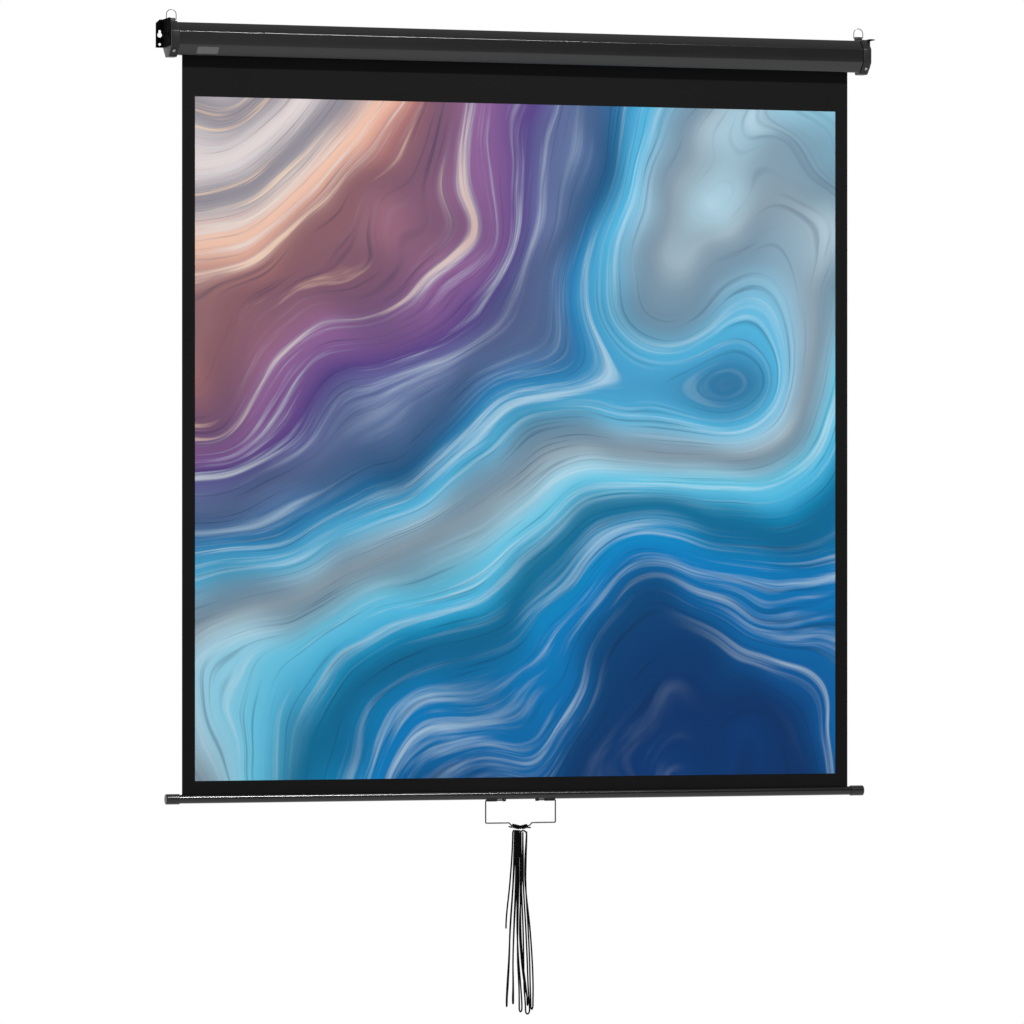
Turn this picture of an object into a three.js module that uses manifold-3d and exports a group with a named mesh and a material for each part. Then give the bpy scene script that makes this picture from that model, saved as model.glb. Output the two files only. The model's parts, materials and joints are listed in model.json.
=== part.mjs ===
// A pull-down projector screen that hangs on a wall or under a ceiling, in millimetres.
// +X runs to the right along the housing, +Y runs back to the wall and +Z is up.
// The origin is the middle of the housing's flat back, on the wall plane.
// The screen is drawn fully down and held there, with its pull handle hanging.

import * as THREE from 'three';
import { mergeVertices } from 'three/addons/utils/BufferGeometryUtils.js';
import Module from 'manifold-3d';

const wasm = await Module();
wasm.setup();

// Clearances
const gap = 0.3; // between pieces that seat on or turn in each other
const overrun = 1; // how far a cutting body runs past what it cuts
const weldReach = 0.0001;

// Picture, black border and cloth
const pictureWidth = 1524;
const pictureHeight = 1524;
const sideBorder = 30;
const topBorder = 89;
const bottomBorder = 30;
const clothThick = 0.42;
const clothDepth = 21; // from the wall to the hanging cloth

// Housing: a folded steel section with eight sides and a slot for the cloth
const caseBeyondCloth = 38; // from the cloth's edge to the end cap's outer face
const caseAcross = 73; // across the flats
const caseWall = 1.2;
const caseFold = 2.2; // outer radius of the folds
const caseLip = 5; // folded in along both edges of the slot
const slotAhead = 12; // slot edge in front of the cloth
const slotBehind = 12; // slot edge behind the cloth

// End caps
const capSkirt = 18.5;
const capProud = 2.5; // beyond the housing at the front and on top
const capDrop = 4.5; // below the housing
const capWall = 3;
const capCorner = 4; // radius of the cap's long corners
const bossRadius = 9;
const drivenBossLength = 12;
const idlerBossLength = 14;

// Hanging rings and the lugs they turn in
const lugWidth = 17;
const lugDepth = 8;
const lugRise = 8.5; // above the cap's top
const lugInset = 12.5; // from the cap's outer face to the middle of the lug
const lugDistance = 24.5; // from the wall
const ringWire = 1; // radius
const ringHalfWidth = 11.15; // to the middle of a leg
const ringHeight = 22.7; // from the pivot to the top of the ring's centre line
const ringCorner = 2.2;

// Brackets: an ear that is screwed to wall or ceiling, and a wing on the cap's end
const bracketThick = 1.6;
const bracketTall = 63;
const bracketDeep = 68;
const earWidth = 17;
const earChamferWide = 9;
const earChamferTall = 8;
const wingCorner = 4;
const pivotDepth = 28.85; // bracket screw from the wall
const pivotHeight = 11.15; // bracket screw above the housing's axis
const keyholeRadius = 5.5;
const keyholeSlot = 6; // width of the narrow end
const keyholeReach = 8.3; // from the round end's centre to the narrow end's centre
const keyholeHeight = 10.5; // above the housing's axis
const screwHoleRadius = 3;
const screwHoleHeight = -10.3;
const wingHoleDrop = 3; // the wing's holes lie lower than the ear's
const wingHoleDepth = 55; // from the wall
const earTopMargin = 34.8; // from the keyhole up to the top of the bracket
const earHoleInset = 9; // from the ear's outer edge

// Screws
const screwShank = 1.9; // radius
const screwHead = 3.6; // radius
const screwHeadTall = 2;
const screwLength = 9;
const screwInset = 8.5; // from the cap's outer face

// Roller
const rollerRadius = 17;
const rollerWall = 1;
const rollerOverhang = 8; // tube beyond each edge of the cloth
const wrapTurns = 1.33; // cloth left on the roller when the screen is down
const wrapGap = 0.33; // between turns of cloth
const plugSleeve = 14;
const plugFlange = 3.2;
const plugFlangeRadius = 16.9;

// Spring and its fixed shaft
const shaftRadius = 3;
const bladeWide = 6;
const bladeThick = 2.6;
const coreRadius = 5;
const collarRadius = 12.4;
const collarThick = 6;
const springSpan = 190; // between the collar and the plug
const springRadius = 10.4; // to the middle of the wire
const springWire = 1; // radius
const springTurns = 18;
const tenonLength = 14;

// Ratchet: a notched hub on the fixed shaft, and two pawls on the roller head
const hubRadius = 9;
const hubThick = 6;
const notchDeep = 2.9;
const notchRamp = THREE.MathUtils.degToRad(62);
const pawlPivotRadius = 13.2;
const pawlThick = 5;
const pawlBoss = 2.9; // radius
const pawlPin = 1.4; // radius
const pawlArmInner = 9.7; // radius of the arm's inner side about the roller's axis
const pawlArmOuter = 12.3;
const pawlNoseRadius = 9.35; // tip of the nose about the roller's axis
const pawlNoseBack = THREE.MathUtils.degToRad(9);
const pawlStart = THREE.MathUtils.degToRad(62); // angle of the first pawl's pivot
const pawlSweep = THREE.MathUtils.degToRad(46); // from the pivot to the nose
const pawlClear = THREE.MathUtils.degToRad(3); // between nose and notch face

// Idler end
const idlerPinRadius = 4;
const bushWall = 1.6;
const idlerReach = 12; // of the pin into the roller
const idlerCollarRadius = 7;
const idlerCollarThick = 3;

// Bottom bar
const barRadius = 10;
const barWall = 1.3;
const barSlot = 2.6;
const barCapRadius = 11.7;
const barCapLength = 31.4;
const barCapWall = 3.2;
const barCapRound = 2;
const hemRodRadius = 2.4;

// Pull handle of bent wire, and the clips that hold it under the bar
const wireRadius = 1.6;
const handleWidth = 166; // between the middles of the legs
const handleDrop = 51.4; // from the pivot to the middle of the lower wire
const handleCorner = 2.5;
const notchHalf = 27.5; // half the width of the V in the lower wire
const notchKnee = 21.5; // from the middle to where its slope gets gentle
const kneeFall = 6;
const notchFall = 11.4;
const handleEnd = 35; // end of the wire from the middle of the bar
const clipLength = 23.5;
const clipWall = 0.8;
const clipFlange = 5;
const keeperLength = 6.5;
const keeperPlace = 39.3;

// Pull cord: lashings round the V, and the hank of loops under it
const cordRadius = 1.7;
const cordGap = 0.5; // between turns of a lashing
const lashingStart = 1.2; // from the middle of the V
const lashingTurnsLeft = 4;
const lashingTurnsRight = 3;
const tailReachLeft = 8; // of the cut end beyond the last turn
const tailReachRight = 7;
const tailDropLeft = 0.3;
const tailDropRight = 2;
const strandLayer = 6.8; // strands lie this far before and behind the middle
const crossingLayer = 2.2; // the two strands that cross others lie nearer to it
const lowFold = 4.6; // how far the fold that passes under another lies below it
const loopHalf = 8.5; // half the width of a loop's lower bend
const hankFall = 414.6; // from the top of the loops to the lowest bend
const looseEndFall = 221; // from the top of the loops
const foldRiseShare = 0.06; // folds to the sides lie higher, under the slope of the lashings

// Sides and steps of round forms
const tubeSides = 30;
const roundSides = 16;
const holeSides = 16;
const wireSides = 8;
const cordSides = 6;
const cordLoopSteps = 24;
const foldSteps = 2;
const curlSteps = 8;
const curlSides = 5;

// The hank's loops: the lower bend's place across, before or behind and below, as shares of
// its half width, of the same and of the hank's fall, and its turn about the vertical.
const loopShares = [
  { across: -3.88, behind: 0, fall: 0.957, turn: 68 },
  { across: -2.11, behind: 0, fall: 0.943, turn: 78 },
  { across: 0, behind: 0, fall: 0.988, turn: 51 },
  { across: 1.79, behind: -0.5, fall: 1, turn: 40 },
  { across: 2.05, behind: 0.35, fall: 0.954, turn: 76 },
  { across: 3.06, behind: -0.3, fall: 0.975, turn: 55 },
];

// The cord's route down each strand, from the loose end on: places across at these levels,
// which are shares of the hank's fall. The first place is at the fold on top.
const levelShares = [0.15, 0.289, 0.533, 0.7075, 0.847];
const strandRoutes = [
  [-16.4, -18.8, -23.4, -32.5],
  [-14.6, -16.4, -19.7, -26.7, -30.4, -34.3],
  [-12.1, -13.7, -15.8, -22.8, -24.9, -27.9],
  [-10.6, -11.2, -12.1, -17.6, -20.3, -19.4],
  [-7.9, -8.5, -9.7, -13.7, -15.8, -15.8],
  [-6.1, -6.7, -6.7, -9.1, -9.1, -6.1],
  [-3.9, -4.5, -5.1, -6.1, -2.4, 2.5],
  [-1.5, -1.2, -0.6, 3.7, 5.2, 6.1],
  [7.6, 8.5, 8.8, 14.6, 18, 20.1],
  [3.1, 3.1, 1.6, -3, 1.5, 9],
  [0.6, 0.9, 0.3, 1, 5.5, 13],
  [12.2, 10.7, 10.1, 15.8, 19.2, 20.7],
  [16.4, 13.1, 13.4, 24.4, 29.8, 32],
];
const crossingStrands = [9, 10];

// Places that follow from the sizes above
const caseHalf = caseAcross / 2;
const caseFlat = caseHalf * Math.tan(Math.PI / 8);
const clothWidth = pictureWidth + 2 * sideBorder;
const capOuter = clothWidth / 2 + caseBeyondCloth;
const capInner = capOuter - capWall;
const barTop = -(caseHalf + topBorder + pictureHeight + bottomBorder);
const barAxisHeight = barTop - barRadius;
const wrapPitch = clothThick + wrapGap;
const wrapInner = rollerRadius + gap + clothThick / 2;
const wrapOuter = wrapInner + wrapPitch * wrapTurns;
const rollerDepth = clothDepth + wrapOuter;
const rollerHalf = clothWidth / 2 + rollerOverhang;
const rollerBore = rollerRadius - rollerWall;
const handlePivotFall = barRadius + gap + wireRadius;
const notchAngle = Math.atan2(notchFall - kneeFall, notchKnee);
const lashingRadius = wireRadius + gap + cordRadius;
const cordPivotFall = handleDrop + notchFall - lashingStart * Math.tan(notchAngle);

// Colours
const blackSteel = new THREE.MeshStandardMaterial({ color: 0x2b2b2c, roughness: 0.42, metalness: 0.2 });
const blackPlastic = new THREE.MeshStandardMaterial({ color: 0x2e2e2f, roughness: 0.5, metalness: 0 });
const bracketBlack = new THREE.MeshStandardMaterial({ color: 0x141414, roughness: 0.45, metalness: 0.2 });
const brightSteel = new THREE.MeshStandardMaterial({ color: 0xb8b9bb, roughness: 0.3, metalness: 1 });
const greySteel = new THREE.MeshStandardMaterial({ color: 0x76777a, roughness: 0.4, metalness: 0.9 });
const springSteel = new THREE.MeshStandardMaterial({ color: 0x6c6d70, roughness: 0.35, metalness: 1 });
const paleNylon = new THREE.MeshStandardMaterial({ color: 0xdad8d0, roughness: 0.5, metalness: 0 });
const screenCloth = new THREE.MeshStandardMaterial({ color: 0xe9e9ea, roughness: 0.85, metalness: 0 });
const blackCloth = new THREE.MeshStandardMaterial({ color: 0x1a1a1b, roughness: 0.8, metalness: 0 });
const blackCord = new THREE.MeshStandardMaterial({ color: 0x0c0c0c, roughness: 0.8, metalness: 0 });

// Shared vertices merged, empty triangles dropped and faces turned outwards
function weld(geometry) {
  geometry.deleteAttribute('normal');
  geometry.deleteAttribute('uv');
  const merged = mergeVertices(geometry, weldReach);
  const place = merged.attributes.position;
  const corners = [new THREE.Vector3(), new THREE.Vector3(), new THREE.Vector3()];
  const index = [];
  let volume = 0;
  for (let i = 0; i < merged.index.count; i += 3) {
    const face = [0, 1, 2].map((k) => merged.index.getX(i + k));
    if (face[0] === face[1] || face[1] === face[2] || face[2] === face[0]) continue;
    face.forEach((v, k) => corners[k].fromBufferAttribute(place, v));
    volume += corners[0].dot(corners[1].clone().cross(corners[2]));
    index.push(...face);
  }
  if (volume < 0) index.reverse();
  merged.setIndex(index);
  return merged;
}

function toSolid(geometry) {
  const vertProperties = new Float32Array(geometry.attributes.position.array);
  const triVerts = new Uint32Array(geometry.index.array);
  return new wasm.Manifold(new wasm.Mesh({ numProp: 3, vertProperties, triVerts }));
}

function fromSolid(solid) {
  const mesh = solid.getMesh();
  const geometry = new THREE.BufferGeometry();
  geometry.setAttribute('position', new THREE.BufferAttribute(new Float32Array(mesh.vertProperties), 3));
  geometry.setIndex(Array.from(mesh.triVerts));
  return geometry;
}

function join(...geometries) {
  return fromSolid(geometries.map(toSolid).reduce((whole, next) => whole.add(next)));
}

function cut(geometry, ...tools) {
  return fromSolid(tools.map(toSolid).reduce((whole, tool) => whole.subtract(tool), toSolid(geometry)));
}

function shapeOf(outline) {
  return new THREE.Shape(outline.map(([u, v]) => new THREE.Vector2(u, v)));
}

// An outline in Y and Z, drawn out along X
const acrossToX = new THREE.Matrix4().set(0, 0, 1, 0, 1, 0, 0, 0, 0, 1, 0, 0, 0, 0, 0, 1);
function prismX(outline, from, to) {
  const depth = Math.abs(to - from);
  const geometry = new THREE.ExtrudeGeometry(shapeOf(outline), { depth, bevelEnabled: false });
  return weld(geometry.applyMatrix4(acrossToX).translate(Math.min(from, to), 0, 0));
}

// An outline in X and Z, drawn out along Y
function prismY(outline, from, to) {
  const depth = Math.abs(to - from);
  const geometry = new THREE.ExtrudeGeometry(shapeOf(outline), { depth, bevelEnabled: false });
  return weld(geometry.rotateX(Math.PI / 2).translate(0, Math.max(from, to), 0));
}

// A closed profile of places along X and radii, turned about the X axis
function turnedX(profile, sides = roundSides) {
  const points = profile.map(([along, radius]) => new THREE.Vector2(radius, along));
  return weld(new THREE.LatheGeometry(points, sides).rotateZ(-Math.PI / 2));
}

function rodX(radius, from, to, sides = roundSides) {
  return turnedX([[from, 0], [from, radius], [to, radius], [to, 0]], sides);
}

function ringX(inner, outer, from, to, sides = roundSides) {
  return turnedX([[from, inner], [from, outer], [to, outer], [to, inner], [from, inner]], sides);
}

function arc(centreU, centreV, radius, start, end, steps) {
  const points = [];
  for (let i = 0; i <= steps; i += 1) {
    const angle = start + ((end - start) * i) / steps;
    points.push([centreU + radius * Math.cos(angle), centreV + radius * Math.sin(angle)]);
  }
  return points;
}

function circle(centreU, centreV, radius, sides = holeSides) {
  return arc(centreU, centreV, radius, 0, 2 * Math.PI, sides).slice(1);
}

function rectangle(u0, v0, u1, v1) {
  return [[u0, v0], [u1, v0], [u1, v1], [u0, v1]];
}

// The chosen corners of an outline in a plane, rounded
function softened(outline, radius, steps, corners) {
  return outline.flatMap(([u, v], i) => {
    if (!corners.includes(i)) return [[u, v]];
    const at = new THREE.Vector2(u, v);
    const back = new THREE.Vector2(...outline[(i + outline.length - 1) % outline.length]).sub(at).normalize();
    const ahead = new THREE.Vector2(...outline[(i + 1) % outline.length]).sub(at).normalize();
    const half = Math.acos(back.dot(ahead)) / 2;
    const centre = at.clone().addScaledVector(back.clone().add(ahead).normalize(), radius / Math.sin(half));
    const start = at.clone().addScaledVector(back, radius / Math.tan(half)).sub(centre).angle();
    const sweep = (Math.PI - 2 * half) * Math.sign(back.cross(ahead)) * -1;
    return arc(centre.x, centre.y, radius, start, start + sweep, steps);
  });
}

// Sheet metal: an open line given a thickness to its right, with mitred folds
function folded(line, thick) {
  const points = line.map(([u, v]) => new THREE.Vector2(u, v));
  const rights = points.slice(1).map((p, i) => {
    const along = p.clone().sub(points[i]).normalize();
    return new THREE.Vector2(along.y, -along.x);
  });
  const inner = points.map((p, i) => {
    const before = rights[Math.max(i - 1, 0)];
    const after = rights[Math.min(i, rights.length - 1)];
    const mitre = before.clone().add(after).divideScalar(before.dot(after) + before.lengthSq());
    return p.clone().addScaledVector(mitre, thick);
  });
  return [...points, ...inner.reverse()].map((p) => [p.x, p.y]);
}

// A polyline in space whose corners are rounded
function rounded(corners, radius, steps) {
  const points = [corners[0]];
  for (let i = 1; i < corners.length - 1; i += 1) {
    const back = corners[i - 1].clone().sub(corners[i]).normalize();
    const ahead = corners[i + 1].clone().sub(corners[i]).normalize();
    const half = back.angleTo(ahead) / 2;
    const turn = Math.PI - 2 * half;
    const middle = back.clone().add(ahead).normalize();
    const centre = corners[i].clone().addScaledVector(middle, radius / Math.sin(half));
    const start = corners[i].clone().addScaledVector(back, radius / Math.tan(half)).sub(centre);
    const end = corners[i].clone().addScaledVector(ahead, radius / Math.tan(half)).sub(centre);
    for (let k = 0; k <= steps; k += 1) {
      const share = k / steps;
      const point = start.clone().multiplyScalar(Math.sin((1 - share) * turn) / Math.sin(turn));
      point.addScaledVector(end, Math.sin(share * turn) / Math.sin(turn));
      points.push(point.add(centre));
    }
  }
  points.push(corners[corners.length - 1]);
  return points;
}

// A curve through given points, with a ring of the tube at each of them
class Route extends THREE.Curve {
  constructor(points) {
    super();
    this.points = points;
  }

  getPoint(t, target = new THREE.Vector3()) {
    const at = t * (this.points.length - 1);
    const i = Math.min(Math.floor(at), this.points.length - 2);
    return target.lerpVectors(this.points[i], this.points[i + 1], at - i);
  }

  getTangent(t, target = new THREE.Vector3()) {
    const last = this.points.length - 1;
    const i = Math.round(t * last);
    const here = this.points[i];
    const arriving = here.clone().sub(this.points[Math.max(i - 1, 0)]).normalize();
    const leaving = this.points[Math.min(i + 1, last)].clone().sub(here).normalize();
    return target.copy(arriving).add(leaving).normalize();
  }

  getUtoTmapping(u) {
    return u;
  }
}

function tube(points, radius, sides) {
  const section = shapeOf(circle(0, 0, radius, sides));
  const extrudePath = new Route(points);
  return weld(new THREE.ExtrudeGeometry(section, { steps: points.length - 1, extrudePath }));
}

// The least gap of a wound tube to itself, on points a quarter of a radius apart
function leastGap(points, radius) {
  const fine = [];
  let run = 0;
  for (let i = 1; i < points.length; i += 1) {
    const length = points[i].distanceTo(points[i - 1]);
    const parts = Math.max(1, Math.ceil((4 * length) / radius));
    for (let k = 0; k < parts; k += 1) {
      const at = points[i - 1].clone().lerp(points[i], k / parts);
      fine.push({ at, run: run + (length * k) / parts });
    }
    run += length;
  }
  let least = Infinity;
  for (let i = 0; i < fine.length; i += 1) {
    for (let k = i + 1; k < fine.length; k += 1) {
      if (fine[k].run - fine[i].run < 6 * radius) continue;
      least = Math.min(least, fine[i].at.distanceTo(fine[k].at));
    }
  }
  return { gap: least - 2 * radius, length: run };
}

// A helix along +X about the X axis, with a straight end one tube diameter long and a tail
function helix(radius, pitch, turns, wire, start, tailReach = 2 * wire, tailDrop = 0) {
  const points = [new THREE.Vector3(0, radius * Math.cos(start), radius * Math.sin(start))];
  for (let i = 0; i <= turns * curlSteps; i += 1) {
    const angle = start + (2 * Math.PI * i) / curlSteps;
    const along = 2 * wire + (pitch * i) / curlSteps;
    points.push(new THREE.Vector3(along, radius * Math.cos(angle), radius * Math.sin(angle)));
  }
  const last = points[points.length - 1];
  points.push(last.clone().add(new THREE.Vector3(tailReach, 0, tailDrop)));
  return points;
}

function piece(group, name, geometry, material) {
  const mesh = new THREE.Mesh(geometry, material);
  mesh.name = name;
  group.add(mesh);
  return mesh;
}

const screen = new THREE.Group();
const sides = [
  { word: 'left', sign: -1 },
  { word: 'right', sign: 1 },
];

// Housing

function caseOutline(grow) {
  const half = caseHalf + grow;
  const corners = arc(-caseHalf, 0, half / Math.cos(Math.PI / 8), Math.PI / 8, (15 * Math.PI) / 8, 7);
  return corners;
}

function caseSection() {
  const slotFront = -(clothDepth + slotAhead);
  const slotRear = -(clothDepth - slotBehind);
  const slotRearHeight = slotRear - caseFlat;
  const [backTop, topRear, topFront, frontTop, frontLow, lowFront] = caseOutline(0);
  const backLow = [0, -caseFlat];
  const line = [
    [slotFront, -caseHalf + caseLip],
    [slotFront, -caseHalf],
    lowFront,
    frontLow,
    frontTop,
    topFront,
    topRear,
    backTop,
    backLow,
    [slotRear, slotRearHeight],
    [slotRear, slotRearHeight + caseLip],
  ];
  const folds = line.map((_, i) => i).slice(1, -1);
  return folded(softened(line, caseFold, foldSteps, folds), caseWall);
}

// End caps: the outline is the housing's, grown except at the wall, and deeper below
const capFront = caseAcross + capProud;
const capTop = caseHalf + capProud;
const capLow = caseHalf + capDrop;
const frontBevel = caseAcross + caseFlat + capProud * Math.SQRT2; // depth plus height along it
const backBevel = caseFlat + capProud * Math.SQRT2;

function capOutline() {
  const outline = [
    [0, -backBevel],
    [0, backBevel],
    [backBevel - capTop, capTop],
    [capTop - frontBevel, capTop],
    [-capFront, frontBevel - capFront],
    [-capFront, capFront - frontBevel],
    [capLow - frontBevel, -capLow],
    [backBevel - capLow, -capLow],
  ];
  return softened(outline, capCorner, foldSteps, outline.map((_, i) => i));
}

// Seats of the cap screws: the middles of the lower front and upper rear bevels
const bevelSeats = [
  {
    word: 'front',
    depth: (capFront + frontBevel - capLow) / 2,
    height: -(frontBevel - capFront + capLow) / 2,
    outward: new THREE.Vector3(0, -1, -1).normalize(),
  },
  {
    word: 'rear',
    depth: (capTop - backBevel) / 2,
    height: (capTop + backBevel) / 2,
    outward: new THREE.Vector3(0, 1, 1).normalize(),
  },
];
const towardsX = new THREE.Vector3(1, 0, 0);

// A pan-head screw whose head sits at x = 0 and points to +X
function screw() {
  const shoulder = screwHead * Math.SQRT1_2;
  return turnedX([
    [-screwLength, 0],
    [-screwLength, screwShank],
    [gap, screwShank],
    [gap, screwHead],
    [gap + screwHeadTall / 2, screwHead],
    [gap + screwHeadTall, shoulder],
    [gap + screwHeadTall, 0],
  ], holeSides);
}

// A drill along the line of a screw, to cut its hole
function drill(depth, height, across, outward) {
  const bore = rodX(screwShank + gap, -screwLength - overrun, overrun + screwHeadTall, holeSides);
  bore.applyQuaternion(new THREE.Quaternion().setFromUnitVectors(towardsX, outward));
  return bore.translate(across, -depth, height);
}

function lugOutline() {
  const half = lugDepth / 2;
  const top = capTop + lugRise;
  return [
    [-lugDistance - half, capTop - capProud / 2],
    [-lugDistance + half, capTop - capProud / 2],
    ...arc(-lugDistance, top - half, half, 0, Math.PI, holeSides / 2),
  ];
}
const ringPivotHeight = capTop + lugRise - lugDepth / 2;

function endCap(sign) {
  const outer = sign * capOuter;
  const inner = sign * capInner;
  const rim = sign * (capOuter - capSkirt);
  const skirtOutline = capOutline();
  const body = prismX(skirtOutline, rim, outer);
  const hollow = prismX(caseOutline(gap), rim - sign * overrun, inner);
  const bossLength = sign < 0 ? drivenBossLength : idlerBossLength;
  const boss = rodX(bossRadius, inner + (sign * capWall) / 2, inner - sign * bossLength)
    .translate(0, -rollerDepth, 0);
  const lugMiddle = sign * (capOuter - lugInset);
  const lug = prismX(lugOutline(), lugMiddle - lugWidth / 2, lugMiddle + lugWidth / 2);
  const lugBore = rodX(ringWire + gap, lugMiddle - lugWidth, lugMiddle + lugWidth, holeSides)
    .translate(0, -lugDistance, ringPivotHeight);
  const socket = sign < 0 ? bladeSocket(inner) : idlerSocket(inner);
  const screwPlace = sign * (capOuter - screwInset);
  const drills = bevelSeats.map((seat) => drill(seat.depth, seat.height, screwPlace, seat.outward));
  const pivotDrill = drill(pivotDepth, pivotHeight, outer, towardsX.clone().multiplyScalar(sign));
  return cut(join(cut(body, hollow), boss, lug), lugBore, socket, ...drills, pivotDrill);
}

function bladeSocket(inner) {
  const half = bladeWide / 2 + gap;
  const low = bladeThick / 2 + gap;
  const outline = rectangle(-rollerDepth - low, -half, -rollerDepth + low, half);
  return prismX(outline, inner, inner + drivenBossLength + overrun);
}

function idlerSocket(inner) {
  return rodX(idlerPinRadius + gap, inner, inner - idlerBossLength - overrun).translate(0, -rollerDepth, 0);
}

const shellHalf = capInner - gap;
const shellDrills = sides.flatMap(({ sign }) => bevelSeats.map((seat) =>
  drill(seat.depth, seat.height, sign * (capOuter - screwInset), seat.outward)));
piece(screen, 'case_shell', cut(prismX(caseSection(), -shellHalf, shellHalf), ...shellDrills), blackSteel);

for (const { word, sign } of sides) {
  piece(screen, `end_cap_${word}`, endCap(sign), blackPlastic);
  for (const seat of bevelSeats) {
    const mesh = piece(screen, `cap_screw_${seat.word}_${word}`, screw(), brightSteel);
    mesh.position.set(sign * (capOuter - screwInset), -seat.depth, seat.height);
    mesh.quaternion.setFromUnitVectors(towardsX, seat.outward);
  }
}

// Brackets: both are bent alike, as a mirrored pair, round the screw that holds them.
// The left one's ear lies against the wall. The right one is turned a quarter, ear on top.

function keyhole(height, across) {
  const slot = keyholeSlot / 2;
  const meet = Math.acos(slot / keyholeRadius);
  return [
    ...arc(across, height, keyholeRadius, Math.PI - meet, 2 * Math.PI + meet, holeSides),
    ...arc(across, height + keyholeReach, slot, 0, Math.PI, holeSides / 2),
  ];
}

function bracket(sign) {
  const wallSide = pivotDepth;
  const front = pivotDepth - bracketDeep;
  const top = keyholeHeight + earTopMargin - pivotHeight;
  const low = top - bracketTall;
  const near = sign * gap;
  const far = sign * (gap + bracketThick);
  const tip = sign * earWidth;
  const wing = prismX([
    [wallSide, low],
    [wallSide, top],
    ...arc(front + wingCorner, top - wingCorner, wingCorner, Math.PI / 2, Math.PI, wireSides / 2),
    ...arc(front + wingCorner, low + wingCorner, wingCorner, Math.PI, (3 * Math.PI) / 2, wireSides / 2),
  ], near, far);
  const ear = prismY([
    [near, low],
    [tip, low],
    [tip, top - earChamferTall],
    [tip - sign * earChamferWide, top],
    [near, top],
  ], wallSide, wallSide - bracketThick);
  const earHoles = sign * (earWidth - earHoleInset);
  const earCuts = [
    keyhole(keyholeHeight - pivotHeight, earHoles),
    circle(earHoles, screwHoleHeight - pivotHeight, screwHoleRadius),
  ].map((outline) => prismY(outline, wallSide + overrun, wallSide - bracketThick - overrun));
  const wingHoles = pivotDepth - wingHoleDepth;
  const wingLower = screwHoleHeight - wingHoleDrop - pivotHeight;
  const wingCuts = [
    keyhole(keyholeHeight - wingHoleDrop - pivotHeight, wingHoles),
    circle(wingHoles, wingLower, screwHoleRadius),
    circle(0, 0, screwShank + gap),
  ].map((outline) => prismX(outline, near - sign * overrun, far + sign * overrun));
  return cut(join(wing, ear), ...earCuts, ...wingCuts);
}

const bracketGroups = {};
for (const { word, sign } of sides) {
  const group = new THREE.Group();
  group.position.set(sign * capOuter, -pivotDepth, pivotHeight);
  piece(group, `bracket_${word}`, bracket(sign), bracketBlack);
  const bolt = piece(group, `bracket_screw_${word}`, screw(), bracketBlack);
  bolt.position.set(sign * (gap + bracketThick), 0, 0);
  bolt.quaternion.setFromUnitVectors(towardsX, towardsX.clone().multiplyScalar(sign));
  bracketGroups[word] = group;
  screen.add(group);
}
bracketGroups.right.rotation.x = Math.PI / 2;

// Hanging rings: bent wire whose two ends meet inside the lug

function hangingRing() {
  const archSteps = holeSides / 2;
  const shoulder = ringHeight - ringHalfWidth;
  const arch = arc(0, shoulder, ringHalfWidth, Math.PI, 0, archSteps)
    .map(([u, v]) => new THREE.Vector3(u, 0, v));
  const bend = (sign) => arc(
    sign * (ringHalfWidth - ringCorner),
    ringCorner,
    ringCorner,
    -Math.PI / 2,
    sign < 0 ? -Math.PI : 0,
    wireSides / 2,
  ).map(([u, v]) => new THREE.Vector3(u, 0, v));
  return tube([
    new THREE.Vector3(-gap, 0, 0),
    ...bend(-1),
    ...arch,
    ...bend(1).reverse(),
    new THREE.Vector3(gap, 0, 0),
  ], ringWire, wireSides);
}

for (const { word, sign } of sides) {
  const ring = piece(screen, `hanging_ring_${word}`, hangingRing(), brightSteel);
  ring.position.set(sign * (capOuter - lugInset), -lugDistance, ringPivotHeight);
}

// Roller and what turns with it. Its group sits on the roller's axis.

const roller = new THREE.Group();
roller.position.set(0, -rollerDepth, 0);
screen.add(roller);

piece(roller, 'roller_tube', ringX(rollerBore, rollerRadius, -rollerHalf, rollerHalf, tubeSides), greySteel);

// Cloth that stays on the roller, as a spiral seen along X
function spiral(side) {
  const steps = Math.round(wrapTurns * tubeSides);
  const points = [];
  for (let i = 0; i <= steps; i += 1) {
    const angle = (2 * Math.PI * wrapTurns * i) / steps;
    const radius = wrapOuter - (wrapPitch * wrapTurns * i) / steps + (side * clothThick) / 2;
    points.push([radius * Math.cos(angle), radius * Math.sin(angle)]);
  }
  return points;
}
const wrapOutline = [...spiral(1), ...spiral(-1).reverse()];
piece(roller, 'fabric_wrap', prismX(wrapOutline, -clothWidth / 2, clothWidth / 2), blackCloth);

// Roller head at the sprung end, with the two pins that carry the pawls
const headFace = -(rollerHalf + gap);
const headOuter = headFace - plugFlange;
const bossEnd = -(capInner - drivenBossLength);
const pawlOuter = bossEnd + gap + hubThick / 2 - pawlThick / 2;
const pawlAngles = [pawlStart, pawlStart + Math.PI];
function onCircle(radius, angle) {
  return [radius * Math.cos(angle), radius * Math.sin(angle)];
}

function rollerHead() {
  const body = turnedX([
    [headOuter, shaftRadius + gap],
    [headOuter, plugFlangeRadius],
    [headFace, plugFlangeRadius],
    [headFace, rollerBore - gap],
    [headFace + plugSleeve, rollerBore - gap],
    [headFace + plugSleeve, shaftRadius + gap],
    [headOuter, shaftRadius + gap],
  ], tubeSides);
  const pins = pawlAngles.map((angle) => {
    const [back, up] = onCircle(pawlPivotRadius, angle);
    return rodX(pawlPin, pawlOuter, headOuter + plugFlange / 2, holeSides).translate(0, back, up);
  });
  return join(body, ...pins);
}
piece(roller, 'roller_head', rollerHead(), paleNylon);

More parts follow.
